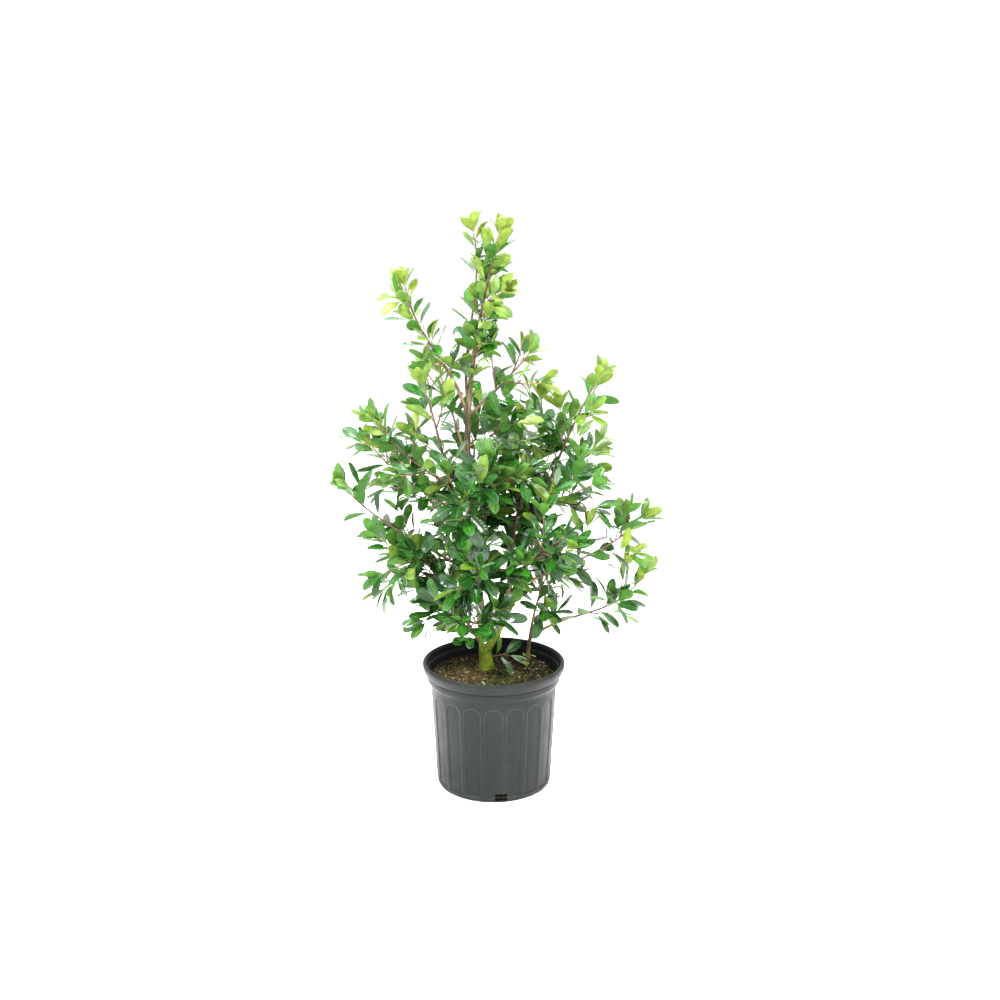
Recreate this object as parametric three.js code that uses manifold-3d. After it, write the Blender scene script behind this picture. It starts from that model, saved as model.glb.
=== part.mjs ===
// A young holly shrub in a black nursery pot, as an assembly of separate solids.
// Units are millimetres and degrees. +Z is up, +X is to the right and +Y is away from the viewer.
// The origin is the centre of the pot's flat underside.
import * as THREE from "three";
import { ConvexGeometry } from "three/addons/geometries/ConvexGeometry.js";
import { mergeVertices } from "three/addons/utils/BufferGeometryUtils.js";
import Module from "manifold-3d";

const wasm = await Module();
wasm.setup();

// Driving dimensions of the pot: a round three-gallon nursery pot
const POT = {
  height: 254,
  panels: 18,
  panelColumns: [-10, -8.3, 0, 8.3], // corners of one panel, in degrees from its middle: a rib leads
  panelDepth: 1.6,
  panelBottom: 12,
  panelTop: 196,
  archHeight: 18, // the round head of a panel
  chamfer: 1.2, // slope of a panel's edge
  drainHoles: 4,
  drainWidth: 20,
  drainHeight: 14,
  drainSill: 3.4,
  drainTurn: -82.5, // azimuth of the first hole
};
const WALL_SLOPE = 0.0545; // how much the wall's radius grows for each millimetre up
const SOIL_TOP = 227;
const SOIL = { columns: 24, inset: 1.2, radius: 127.4, flat: 121, fall: 2 };
const GAP = 0.3; // clearance between solids that touch on the real plant

// Driving dimensions of the plant
const HEIGHT = 868; // from the soil to the end of the leader
const FORK = 0.7; // share of the height where the trunk ends and the leader begins
const TRUNK_RADIUS = 15;
const FLARE = 5; // extra radius of the root flare at the soil
const TWIG_TIP = 1.4; // radius of a twig and of a stem's end
const LEAF = { length: 61, width: 0.46, fold: 0.05 };
const LEAF_STEP = 36; // distance between leaves along a twig
const LEAF_TURN = 144; // turn from one leaf to the next round the twig
const STEM_STEP = 45; // length of one straight stretch of a bent stem
const STEM_TURN = 16; // the most that a stem turns from one stretch to the next
const TRUNK_STEP = 46;
const TRUNK_SIDES = 9;
const BOUGH_SIDES = 5;
const TWIG_SIDES = 3;

// The boughs. `on` is the parent stem and `at` the share of its length where the bough leaves it.
// `azimuth` is 0 along +X and 90 along +Y, and `rise` is the slope at the foot. `lift` and `swing`
// are what the slope and the azimuth change by up to the tip, and `bow` adds to the slope halfway.
// The first `bare` share of `length` is the bough, and the rest is the stem of its leafy mass.
// `twigs` is the number of side twigs of that mass.
const BOUGHS = [
  {
    name: "upper_left", on: "trunk", at: 0.85, azimuth: 192, rise: 79, lift: 2, bow: -23,
    length: 284, bare: 0.45, radius: 3.8, twigs: 0,
  },
  {
    name: "upper_right", on: "trunk", at: 0.86, azimuth: 350, rise: 42, lift: 8,
    length: 170, bare: 0.3, radius: 3.4, twigs: 3,
  },
  {
    name: "mid_right", on: "trunk", at: 0.76, azimuth: 342, rise: 24, lift: 18,
    length: 120, bare: 0.3, radius: 3, twigs: 3,
  },
  {
    name: "mid_left", on: "trunk", at: 0.43, azimuth: 218, rise: 62, lift: 8, bow: 8,
    length: 350, bare: 0.56, radius: 5, twigs: 3,
  },
  {
    name: "far_left", on: "trunk", at: 0.515, azimuth: 171, rise: 32, lift: 21, bow: -9,
    length: 250, bare: 0.42, radius: 3.8, twigs: 3,
  },
  {
    name: "outer_left", on: "trunk", at: 0.587, azimuth: 195, rise: 38, lift: 17, bow: -8,
    length: 246, bare: 0.4, radius: 3.4, twigs: 4,
  },
  {
    name: "low_left", on: "trunk", at: 0.323, azimuth: 179, rise: 37, lift: 12, bow: -12,
    length: 318, bare: 0.42, radius: 4, twigs: 1,
  },
  {
    name: "lowest_left", on: "trunk", at: 0.35, azimuth: 203, rise: 34, lift: -60,
    length: 205, bare: 0.34, radius: 3.4, twigs: 4,
  },
  {
    name: "left_stem", on: "trunk", at: 0.078, azimuth: 200, rise: 58,
    length: 256, bare: 0.5, radius: 4.4, twigs: 4,
  },
  {
    name: "front_arch", on: "mid_left", at: 0.28, azimuth: 319, rise: 30,
    length: 150, bare: 0.3, radius: 3, twigs: 4,
  },
  {
    name: "right_fork", on: "trunk", at: 0.077, azimuth: 319, rise: 45, lift: 15, bow: 32,
    length: 388, bare: 0.62, radius: 9.8, twigs: 4,
  },
  {
    name: "back_stem", on: "right_fork", at: 0.19, azimuth: 40, rise: 48, lift: 42, bow: 12,
    length: 465, bare: 0.6, radius: 6.6, twigs: 4,
  },
  {
    name: "right_upper", on: "back_stem", at: 0.432, azimuth: 332, rise: 74, lift: -14,
    length: 339, bare: 0.52, radius: 4, twigs: 3,
  },
  {
    name: "right_mid", on: "trunk", at: 0.462, azimuth: 338, rise: 32, lift: -2, bow: -6,
    length: 274, bare: 0.42, radius: 4, twigs: 4,
  },
  {
    name: "right_far", on: "back_stem", at: 0.574, azimuth: 7, rise: 46, lift: -19, bow: 4,
    length: 136, bare: 0.34, radius: 3.2, twigs: 3,
  },
  {
    name: "right_low", on: "right_fork", at: 0.383, azimuth: 7, rise: 28, lift: 16, bow: -13,
    length: 298, bare: 0.4, radius: 3.8, twigs: 4,
  },
  {
    name: "right_stem", on: "soil", foot: [70, 90], azimuth: 303, rise: 84, lift: -25,
    length: 205, bare: 0.54, radius: 4, twigs: 4,
  },
  {
    name: "lowest_right", on: "right_stem", at: 0.22, azimuth: 349, rise: 44, lift: 22, bow: -34,
    length: 278, bare: 0.38, radius: 3.4, twigs: 2,
  },
  {
    name: "back_low", on: "trunk", at: 0.27, azimuth: 95, rise: 22, lift: 12,
    length: 265, bare: 0.42, radius: 3.8, twigs: 4,
  },
  {
    name: "back_left", on: "trunk", at: 0.39, azimuth: 130, rise: 30, lift: 10,
    length: 260, bare: 0.42, radius: 3.6, twigs: 4,
  },
  {
    name: "back_right", on: "trunk", at: 0.46, azimuth: 62, rise: 32, lift: 8,
    length: 255, bare: 0.42, radius: 3.6, twigs: 4,
  },
  {
    name: "back_mid", on: "trunk", at: 0.57, azimuth: 85, rise: 42, lift: 6,
    length: 240, bare: 0.38, radius: 3.4, twigs: 3,
  },
  {
    name: "back_high", on: "trunk", at: 0.72, azimuth: 120, rise: 52, lift: 4,
    length: 190, bare: 0.34, radius: 3, twigs: 2,
  },
  {
    name: "back_lower_left", on: "trunk", at: 0.21, azimuth: 152, rise: 20, lift: 14,
    length: 250, bare: 0.42, radius: 3.4, twigs: 4,
  },
];

// Leafy masses whose stem leaves the trunk or a bough itself, so they have no bare bough.
// Their leaves start at the share `first`, and `leaf` is the length of smaller ones.
const SHOOTS = [
  {
    name: "twin_leader", on: "trunk", at: 0.89, azimuth: 195, rise: 80, lift: -2, bow: 20,
    length: 334, radius: 3.2, twigs: 0, first: 0.2,
  },
  {
    name: "left_droop", on: "left_stem", at: 0.37, azimuth: 204, rise: 11, lift: -31,
    length: 76, radius: 2.2, twigs: 0, first: 0.35,
  },
  {
    name: "base_shoot", on: "trunk", at: 0.035, azimuth: 338, rise: 42, lift: -40,
    length: 52, radius: 2.4, twigs: 0, first: 0.5,
  },
  {
    name: "low_sprout", on: "right_stem", at: 0.09, azimuth: 262, rise: 20, lift: -60,
    length: 40, radius: 1.8, twigs: 0, first: 0.6, leaf: 24,
  },
  {
    name: "front_low", on: "trunk", at: 0.17, azimuth: 255, rise: 18,
    length: 165, radius: 3.2, twigs: 4, first: 0.3,
  },
  {
    name: "front_mid", on: "trunk", at: 0.3, azimuth: 272, rise: 26,
    length: 195, radius: 3.4, twigs: 4, first: 0.3,
  },
  {
    name: "front_high", on: "trunk", at: 0.49, azimuth: 268, rise: 34,
    length: 175, radius: 3.4, twigs: 4, first: 0.3,
  },
  {
    name: "front_right", on: "right_fork", at: 0.456, azimuth: 314, rise: 38,
    length: 182, radius: 3.2, twigs: 4, first: 0.3,
  },
];

const UP = new THREE.Vector3(0, 0, 1);
const FULL_TURN = 360;
const radians = THREE.MathUtils.degToRad;

// Solids

// A closed three.js geometry as a solid that can be joined and cut.
function solidOf(geometry) {
  const bare = geometry.index ? geometry.toNonIndexed() : geometry.clone();
  bare.deleteAttribute("normal");
  bare.deleteAttribute("uv");
  const merged = mergeVertices(bare, 1e-3);
  return new wasm.Manifold(
    new wasm.Mesh({
      numProp: 3,
      vertProperties: new Float32Array(merged.attributes.position.array),
      triVerts: new Uint32Array(merged.index.array),
    }),
  );
}

// A solid back as a three.js geometry.
function geometryOf(solid) {
  const mesh = solid.getMesh();
  const geometry = new THREE.BufferGeometry();
  geometry.setAttribute("position", new THREE.BufferAttribute(mesh.vertProperties, 3));
  geometry.setIndex(new THREE.BufferAttribute(mesh.triVerts, 1));
  return geometry.toNonIndexed();
}

// Moves each vertex of a geometry to where `place` says.
function reshape(geometry, place) {
  const position = geometry.attributes.position;
  const vertex = new THREE.Vector3();
  for (let i = 0; i < position.count; i++) {
    vertex.fromBufferAttribute(position, i);
    const moved = place(vertex);
    position.setXYZ(i, moved.x, moved.y, moved.z);
  }
  return geometry;
}

// A solid of revolution about Z from [radius, height] pairs that start and end on the axis.
function turned(profile, columns) {
  const outline = profile.map(([radius, height]) => new THREE.Vector2(radius, height));
  return new THREE.LatheGeometry(outline, columns).rotateX(Math.PI / 2).rotateZ(Math.PI / 2);
}

// The pot

// The pot's inner wall, from its floor up past the rim, as [radius, height].
const INNER_WALL = [
  [107, 3],
  [118.6, 202],
  [122.6, 212],
  [128.2, 222],
  [132.6, 243],
  [133.8, POT.height + 1],
];

// The pot's outer wall, from its foot up to the rolled rim.
const OUTER_WALL = [
  [110.6, 0],
  [113.4, 3],
  [113.9, POT.panelBottom],
  [114, POT.panelBottom + POT.chamfer],
  [123.9, POT.panelTop - POT.chamfer],
  [124.1, POT.panelTop],
  [125.9, 209],
  [130.6, 214.5],
  [132, 223],
  [130.8, 225.4],
  [135.6, 228],
  [141.5, 244],
  [138, POT.height],
];

// Moves a point of the wall into a panel where it lies in one. A panel's head is round.
function panelled(vertex) {
  const radius = Math.hypot(vertex.x, vertex.y);
  const isWall = vertex.z > POT.panelBottom - 1 && vertex.z < POT.panelTop + 1;
  if (!isWall || radius < 1) return vertex;
  const columns = POT.panelColumns.length;
  const column = Math.round((Math.atan2(vertex.y, vertex.x) / (2 * Math.PI)) * POT.panels * columns);
  const inPanel = THREE.MathUtils.euclideanModulo(column, columns);
  const fromMiddle = POT.panelColumns[inPanel];
  const middle = (Math.floor(column / columns) + 0.5) * (FULL_TURN / POT.panels);
  const azimuth = radians(middle + fromMiddle);
  const isEdge = Math.min(vertex.z - POT.panelBottom, POT.panelTop - vertex.z) < 0.1;
  const isHead = vertex.z > POT.panelTop / 2;
  const drop = isHead ? POT.archHeight * (fromMiddle / POT.panelColumns[0]) ** 2 : 0;
  const sink = inPanel > 0 && !isEdge ? POT.panelDepth : 0;
  const moved = radius - sink - drop * WALL_SLOPE;
  return new THREE.Vector3(moved * Math.cos(azimuth), moved * Math.sin(azimuth), vertex.z - drop);
}

function makePot() {
  const columns = POT.panels * POT.panelColumns.length;
  const outside = reshape(turned([[0, 0], ...OUTER_WALL, [0, POT.height]], columns), panelled);
  const hollow = turned([[0, 3], ...INNER_WALL, [0, POT.height + 1]], columns / 2);
  let pot = solidOf(outside).subtract(solidOf(hollow));
  for (let i = 0; i < POT.drainHoles; i++) {
    const turn = radians(POT.drainTurn + (i * FULL_TURN) / POT.drainHoles);
    const hole = new THREE.BoxGeometry(12, POT.drainWidth, POT.drainHeight)
      .translate(112, 0, POT.drainSill + POT.drainHeight / 2)
      .rotateZ(turn);
    pot = pot.subtract(solidOf(hole));
  }
  return pot;
}

// The potting soil fills the pot up to SOIL_TOP, with a fall to the wall.
function makeSoil() {
  const edge = SOIL_TOP - SOIL.fall;
  const inset = INNER_WALL.filter(([, height]) => height < edge).map(([r, h]) => [r - SOIL.inset, h]);
  inset[0][1] += GAP;
  const top = [[SOIL.radius, edge], [SOIL.flat, SOIL_TOP], [0, SOIL_TOP]];
  return solidOf(turned([[0, inset[0][1]], ...inset, ...top], SOIL.columns));
}

// Stems

// The unit vector of a heading.
function heading(azimuth, rise) {
  const flat = Math.cos(radians(rise));
  return new THREE.Vector3(
    flat * Math.cos(radians(azimuth)),
    flat * Math.sin(radians(azimuth)),
    Math.sin(radians(rise)),
  );
}

// A stem's centre line: it sets out from `start`, and its heading turns evenly on the way.
function bentLine({ start, azimuth, rise, length, lift = 0, swing = 0, bow = 0 }) {
  const steps = 24;
  const points = [start.clone()];
  for (let i = 0; i < steps; i++) {
    const s = (i + 0.5) / steps;
    const slope = rise + lift * s + bow * Math.sin(Math.PI * s);
    const next = points[i].clone();
    points.push(next.addScaledVector(heading(azimuth + swing * s, slope), length / steps));
  }
  return { points, length };
}

// The main stem's centre line between two shares of its height: it leans and bows to the left,
// then comes back over the pot.
function mainLine(from, to) {
  const steps = 24;
  const points = [];
  for (let i = 0; i <= steps; i++) {
    const w = from + ((to - from) * i) / steps;
    const bowed = -14 + 25 * w - 50 * Math.sin(Math.PI * w ** 1.2);
    points.push(new THREE.Vector3(bowed, 22 * (1 - w), SOIL_TOP - 4 + HEIGHT * w));
  }
  return { points, length: HEIGHT * (to - from) };
}

// The point at share `s` of a line, and the line's heading there.
function along(line, s) {
  const place = THREE.MathUtils.clamp(s, 0, 1) * (line.points.length - 1);
  const i = Math.min(Math.floor(place), line.points.length - 2);
  const [a, b] = [line.points[i], line.points[i + 1]];
  return { point: a.clone().lerp(b, place - i), direction: b.clone().sub(a).normalize() };
}

// The part of a line from share `from` to `to`, as few straight stretches.
function partOf(line, from, to, step = STEM_STEP) {
  const length = (to - from) * line.length;
  const turning = along(line, from).direction.angleTo(along(line, to).direction);
  const stretches = Math.max(1, Math.round(length / step), Math.round(turning / radians(STEM_TURN)));
  const shares = Array.from({ length: stretches + 1 }, (_, i) => from + ((to - from) * i) / stretches);
  return { points: shares.map((s) => along(line, s).point), length };
}

// A round stem along a line: a cylinder bent along it and tapered, and larger by `grow` on all sides.
function stemSolid({ line, radiusAt, sides }, grow = 0) {
  const stretches = line.points.length - 1;
  const cylinder = new THREE.CylinderGeometry(1, 1, 1, sides, stretches);
  let side = new THREE.Vector3(0.83, -0.55, 0.1);
  const frames = line.points.map((point, i) => {
    const { direction } = along(line, i / stretches);
    side = side.clone().addScaledVector(direction, -side.dot(direction)).normalize();
    const beyond = i === 0 ? -grow : i === stretches ? grow : 0;
    return {
      point: point.clone().addScaledVector(direction, beyond),
      side,
      across: direction.clone().cross(side),
      radius: radiusAt(i / stretches) + grow,
    };
  });
  reshape(cylinder, (vertex) => {
    const frame = frames[Math.round((vertex.y + 0.5) * stretches)];
    return frame.point
      .clone()
      .addScaledVector(frame.across, vertex.x * frame.radius)
      .addScaledVector(frame.side, vertex.z * frame.radius);
  });
  return solidOf(cylinder);
}

const taper = (foot, tip) => (s) => foot + (tip - foot) * s;

// A steady chance from 0 to 1 for a mass's number, a twig's number and a leaf's number.
function chance(a, b = 0, c = 0) {
  const wave = Math.sin(a * 12.9898 + b * 78.233 + c * 37.719) * 43758.5453;
  return wave - Math.floor(wave);
}

// The direction that leaves a heading by `lean` degrees, `turn` degrees round it from straight up.
function branchOff(direction, turn, lean) {
  const upward = UP.clone().addScaledVector(direction, -UP.dot(direction));
  if (upward.length() < 0.1) upward.set(1, 0, 0).addScaledVector(direction, -direction.x);
  upward.normalize();
  const across = direction.clone().cross(upward);
  return direction
    .clone()
    .multiplyScalar(Math.cos(radians(lean)))
    .addScaledVector(upward, Math.sin(radians(lean)) * Math.cos(radians(turn)))
    .addScaledVector(across, Math.sin(radians(lean)) * Math.sin(radians(turn)));
}

// The distance from a point to the surface of a stem.
function distanceToStem(point, { line, radiusAt }) {
  const stretches = line.points.length - 1;
  const distances = line.points.slice(1).map((end, i) => {
    const stretch = new THREE.Line3(line.points[i], end);
    const closest = stretch.closestPointToPoint(point, true, new THREE.Vector3());
    return closest.distanceTo(point) - radiusAt(i / stretches);
  });
  return Math.min(...distances);
}

// The skeleton: the trunk, the boughs, and the stems and twigs of the masses

const wholeTrunk = mainLine(0, FORK);
const trunk = {
  name: "trunk",
  whole: wholeTrunk,
  line: partOf(wholeTrunk, 0, 1, TRUNK_STEP),
  radiusAt: (s) =>
    4.8 + (TRUNK_RADIUS - 9.8) * (1 - s) + 5 * Math.exp(-9 * s) + FLARE * Math.exp(-42 * s),
  sides: TRUNK_SIDES,
};
const limbs = new Map([["trunk", trunk]]);

// Where a bough or shoot sets out from.
function footOf({ on, at, foot }) {
  return on === "soil" ? new THREE.Vector3(...foot, SOIL_TOP - 2) : along(limbs.get(on).whole, at).point;
}

for (const bough of BOUGHS) {
  const whole = bentLine({ ...bough, start: footOf(bough) });
  const line = partOf(whole, 0, bough.bare);
  const end = taper(bough.radius, TWIG_TIP)(bough.bare);
  const radiusAt = taper(bough.radius, end);
  limbs.set(bough.name, { ...bough, whole, line, radiusAt, end, sides: BOUGH_SIDES });
}

// The masses: the leader's, then one at the end of each bough, then the shoots' own.
const masses = [{ name: "leader", on: "trunk", whole: mainLine(FORK, 1), from: 0, radius: 4.8, twigs: 3 }];
for (const { name, bare, twigs } of BOUGHS) {
  const { whole, end } = limbs.get(name);
  masses.push({ name, on: name, whole, from: bare, radius: end, twigs });
}
for (const shoot of SHOOTS) {
  masses.push({ ...shoot, whole: bentLine({ ...shoot, start: footOf(shoot) }), from: 0 });
}
for (const mass of masses) {
  const line = partOf(mass.whole, mass.from, 1);
  const radiusAt = taper(mass.radius, TWIG_TIP);
  mass.stems = [{ line, radiusAt, sides: TWIG_SIDES, first: mass.first ?? 0.05 }];
}

// A straight side twig of a mass: it leaves the mass's stem and leans up a little.
function sideTwig(mass, number, t) {
  const [{ line, first }] = mass.stems;
  const s = first + ((0.84 - first) * (t + 0.6 * chance(number, t, 1))) / mass.twigs;
  const { point, direction } = along(line, s);
  const out = branchOff(direction, 137.5 * t + 360 * chance(number), 38 + 20 * chance(number, t, 2));
  out.addScaledVector(UP, 0.12).normalize();
  const length = (0.5 + 0.35 * chance(number, t, 3)) * Math.min(105, (1 - s) * line.length + 50);
  return {
    line: { points: [point, point.clone().addScaledVector(out, length)], length },
    radiusAt: () => TWIG_TIP,
    sides: TWIG_SIDES,
    first: 0.3,
  };
}

// A twig is skipped where it would come near a limb, another mass's twigs, or the pot.
function hasRoom(twig, mass) {
  const others = [...limbs.values()];
  for (const other of masses) if (other !== mass) others.push(...other.stems);
  return [0.2, 0.35, 0.5, 0.65, 0.8, 1].every((s) => {
    const { point } = along(twig.line, s);
    return point.z > POT.height + 6 && others.every((other) => distanceToStem(point, other) > 4);
  });
}

masses.forEach((mass, number) => {
  for (let t = 0; t < mass.twigs; t++) {
    const twig = sideTwig(mass, number, t);
    if (hasRoom(twig, mass)) mass.stems.push(twig);
  }
});

// Leaves

// A leaf blade: the hull of six points, with a blunt tip and a keel along its back.
// The part nearer to the twig than the share `from` is left off, and `grow` widens it.
function blade({ foot, direction, face, length }, grow = 0, from = 0) {
  const side = direction.clone().cross(face).normalize();
  const half = (LEAF.width * length) / 2;
  const at = (far, out, up) =>
    foot
      .clone()
      .addScaledVector(direction, far * length + Math.sign(far - 0.5) * grow)
      .addScaledVector(side, out * half + Math.sign(out) * grow)
      .addScaledVector(face, up * length + (up > 0 ? grow : -grow));
  const points = [at(from, 0, 0), at(1, 0, 0)];
  if (grow) points.push(at(from, 0, 0.01), at(1, 0, 0.01));
  for (const sign of [-1, 1]) {
    points.push(at(0.42, 0.95 * sign, LEAF.fold), at(0.8, 0.9 * sign, LEAF.fold));
  }
  return solidOf(new ConvexGeometry(points));
}

// A leaf's place on a twig: it leans out from the twig and turns its face to the light.
// Its root is sunk in the twig, from the axis of a thin twig or nearer the surface of a thick one.
function leafPlace({ line, radiusAt }, s, turn, lean, roll, length) {
  const { point, direction } = along(line, s);
  point.addScaledVector(branchOff(direction, turn, 90), Math.max(0, radiusAt(s) / 2 - 0.75));
  const leafward = branchOff(direction, turn, lean);
  leafward.z -= 0.25 * Math.sin(radians(lean)) ** 2;
  leafward.normalize();
  const outward = new THREE.Vector3(point.x, point.y, 0).normalize();
  const face = direction.clone().multiplyScalar(0.5).addScaledVector(outward, 0.4).add(UP);
  face.addScaledVector(leafward, -face.dot(leafward)).normalize();
  face.applyAxisAngle(leafward, radians(roll));
  return { foot: point, direction: leafward, face, length };
}

// Pieces that stand already, each with its box, so that a leaf can keep clear of them.
const standing = [];

function stand(node, solid) {
  standing.push({ node, solid, box: solid.boundingBox() });
  return solid;
}

function apart(a, b) {
  return [0, 1, 2].some((k) => a.min[k] > b.max[k] || a.max[k] < b.min[k]);
}

// True if the solid meets no standing piece, apart from those of the node `except`.
function isClear(solid, except) {
  const box = solid.boundingBox();
  return standing.every(
    (piece) => piece.node === except || apart(box, piece.box) || solid.intersect(piece.solid).isEmpty(),
  );
}

// The leaves of one twig, in turn along it and close together at its tip.
// A leaf that would touch anything is turned further round, and skipped if that doesn't help.
function leavesOf(mass, number, twig, t) {
  const node = mass.name + "_leaves";
  const size = mass.leaf ?? LEAF.length;
  const lowest = mass.on === "soil" || mass.leaf || mass.name === "base_shoot" ? SOIL_TOP : POT.height;
  const [from, to] = [twig.first, 0.985];
  const step = LEAF_STEP * (size / LEAF.length);
  const count = Math.max(2, Math.round(((to - from) * twig.line.length) / step));
  const leaves = [];
  for (let i = 0; i <= count; i++) {
    const nearTip = i / count;
    const length = size * (1.04 - 0.2 * nearTip ** 4) * (0.85 + 0.3 * chance(number, t, 70 + i));
    const lean = 60 - 40 * nearTip ** 4 + 16 * (chance(number, t, 40 + i) - 0.5);
    const roll = 80 * (chance(number, t, 100 + i) - 0.5);
    for (const more of [0, 40, -40, 85]) {
      const turn = LEAF_TURN * i + 360 * chance(number, t, 5) + more;
      const place = leafPlace(twig, from + (to - from) * nearTip, turn, lean, roll, length);
      const outer = blade(place, 1.2 * GAP, 0.17);
      if (outer.boundingBox().min[2] < lowest + 3) continue;
      if (!isClear(outer, null) || !isClear(blade(place, 1.5 * GAP), node)) continue;
      leaves.push(stand(node, blade(place)));
      break;
    }
  }
  return leaves;
}

// Solids of the trunk, the boughs and the masses

// The largest piece of a solid that is in several, without the loose scraps.
function mainPiece(solid) {
  return solid.decompose().reduce((a, b) => (b.volume() > a.volume() ? b : a));
}

// A stem's solid, cut back to clear the limb or the soil that it grows from.
function stemFrom(parent, stem) {
  const depth = 50;
  const ground = new THREE.BoxGeometry(400, 400, depth).translate(0, 0, SOIL_TOP + GAP - depth / 2);
  const cutter = parent ? stemSolid(parent, GAP) : solidOf(ground);
  return mainPiece(stemSolid(stem).subtract(cutter));
}

const solids = new Map();
const add = (name, solid) => solids.set(name, stand(name, solid));
add("pot", makePot());
add("soil", makeSoil());
for (const limb of limbs.values()) add(limb.name, stemFrom(limbs.get(limb.on), limb));

for (const mass of masses) {
  mass.node = mass.name + "_leaves";
  const [main, ...twigs] = mass.stems;
  mass.solids = [stemFrom(limbs.get(mass.on), main), ...twigs.map((twig) => stemSolid(twig))];
  for (const solid of mass.solids) stand(mass.node, solid);
}
masses.forEach((mass, number) => {
  const leaves = mass.stems.flatMap((twig, t) => leavesOf(mass, number, twig, t));
  const whole = [...mass.solids, ...leaves].reduce((sum, solid) => sum.add(solid));
  solids.set(mass.node, mainPiece(whole));
});

// Materials, one for each kind of surface
const FINISHES = {
  pot: new THREE.MeshStandardMaterial({ color: 0x3b403f, roughness: 0.55, metalness: 0 }),
  soil: new THREE.MeshStandardMaterial({ color: 0x4a3a26, roughness: 0.95, metalness: 0 }),
  bark: new THREE.MeshStandardMaterial({ color: 0x7d6a55, roughness: 0.8, metalness: 0 }),
  leaf: new THREE.MeshStandardMaterial({ color: 0x2f7a2c, roughness: 0.35, metalness: 0 }),
};

function finishOf(name) {
  if (name === "pot" || name === "soil") return FINISHES[name];
  return name.endsWith("_leaves") ? FINISHES.leaf : FINISHES.bark;
}

const holly = new THREE.Group();
for (const [name, solid] of solids) {
  const mesh = new THREE.Mesh(geometryOf(solid), finishOf(name));
  mesh.name = name;
  holly.add(mesh);
}

export default holly;
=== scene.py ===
# %% [markdown]
# # A young holly shrub in a black nursery pot
# The real plant is a holly of about 0.87 m in a three-gallon nursery pot. It has one main stem
# that forks just above the soil, thin boughs that rise to the sides, and glossy oval leaves, which
# are dark lower down and yellow-green at the tips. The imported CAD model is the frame: it gives the
# pot and every limb its place. Its solids are plain, so each of them is replaced here by a mesh
# that has the real surface. All shapes are worked out in millimetres as whole arrays, and become
# metres when a piece is made.

import bpy
import numpy as np
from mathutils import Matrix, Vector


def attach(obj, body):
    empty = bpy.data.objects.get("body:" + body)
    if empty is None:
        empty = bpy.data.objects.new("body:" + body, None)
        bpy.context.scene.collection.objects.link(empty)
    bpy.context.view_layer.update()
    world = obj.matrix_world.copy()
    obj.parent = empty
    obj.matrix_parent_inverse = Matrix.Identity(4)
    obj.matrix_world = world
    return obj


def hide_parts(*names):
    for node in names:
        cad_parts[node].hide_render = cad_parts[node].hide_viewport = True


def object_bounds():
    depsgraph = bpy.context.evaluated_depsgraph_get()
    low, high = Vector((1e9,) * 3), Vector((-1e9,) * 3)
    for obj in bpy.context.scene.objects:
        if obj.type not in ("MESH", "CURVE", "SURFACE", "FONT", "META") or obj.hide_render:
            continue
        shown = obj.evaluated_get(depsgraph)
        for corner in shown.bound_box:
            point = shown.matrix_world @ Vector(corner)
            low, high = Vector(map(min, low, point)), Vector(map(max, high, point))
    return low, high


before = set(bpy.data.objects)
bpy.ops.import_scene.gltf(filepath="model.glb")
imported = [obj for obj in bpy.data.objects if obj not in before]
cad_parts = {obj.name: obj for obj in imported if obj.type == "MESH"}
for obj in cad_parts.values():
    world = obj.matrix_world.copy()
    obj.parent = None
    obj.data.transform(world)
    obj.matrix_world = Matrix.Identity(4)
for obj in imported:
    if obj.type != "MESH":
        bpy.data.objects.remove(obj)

cad_box = [[float(x) for x in corner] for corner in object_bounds()]
print("CAD box in metres:", cad_box)

# %% [markdown]
# ## The camera
# The photograph looks down a little on the pot: the rim shows as an open oval while the trunk
# still looks upright. A camera 1.14 m up and 2.4 m away, pitched 13 degrees down, gives that oval
# and the size of the pot and the crown at once. The focal length is the photograph's, as the width
# of the pot and its distance give it.

# %% Camera at the photograph's viewing angle
CAMERA_PLACE, CAMERA_PITCH = (0.0126, -2.4, 1.141), 13.1  # metres, and degrees down
scene = bpy.context.scene


def placed(name, data, place=(0, 0, 0), turn=(0, 0, 0)):
    """An object that shows `data`, at a place and turned by three angles."""
    thing = bpy.data.objects.new(name, data)
    thing.location, thing.rotation_euler = place, turn
    scene.collection.objects.link(thing)
    return thing


lens = bpy.data.cameras.new("photo_camera")
lens.lens, lens.sensor_width = 45.72, 36
lens.clip_start, lens.clip_end = 0.05, 100
scene.camera = placed("photo_camera", lens, CAMERA_PLACE, (np.radians(90 - CAMERA_PITCH), 0, 0))
print("camera lens:", lens.lens, "mm")

# %% [markdown]
# ## Light
# The plant was photographed in a white studio: soft light from everywhere, and bright panels that
# put a pale gloss on the leaves. A white world could light it alone, but then a glossy leaf looks
# like a matte one. So the world gives the even part, and three small area lights give the gloss:
# the strongest hangs above the plant, one stands in front on the left, and a weaker one on the
# right.

# %% World and lights
WORLD_STRENGTH = 1.08
LIGHTS = {  # the place and the side in metres, and the power in watts
    "key_light": ((-1.3, -1.6, 2.6), 0.7, 156),
    "fill_light": ((1.6, -1.3, 2.2), 0.6, 80),
    "top_light": ((-0.1, 0.8, 3.0), 0.7, 165),
}
AIM = np.array([0, 0, 0.6])  # the middle of the plant, in metres


def soft_light(name, place, size, power):
    """A square area light that faces AIM: turned to its heading, then tilted from straight down by
    the angle whose tangent is its distance over its height."""
    data = bpy.data.lights.new(name, "AREA")
    data.shape, data.size, data.energy = "SQUARE", size, power
    back = np.array(place) - AIM
    turn = np.arctan2(back[1], back[0]) + np.pi / 2
    tilt = np.arctan2(np.hypot(back[0], back[1]), back[2])
    placed(name, data, place, (tilt, 0, turn))


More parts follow.
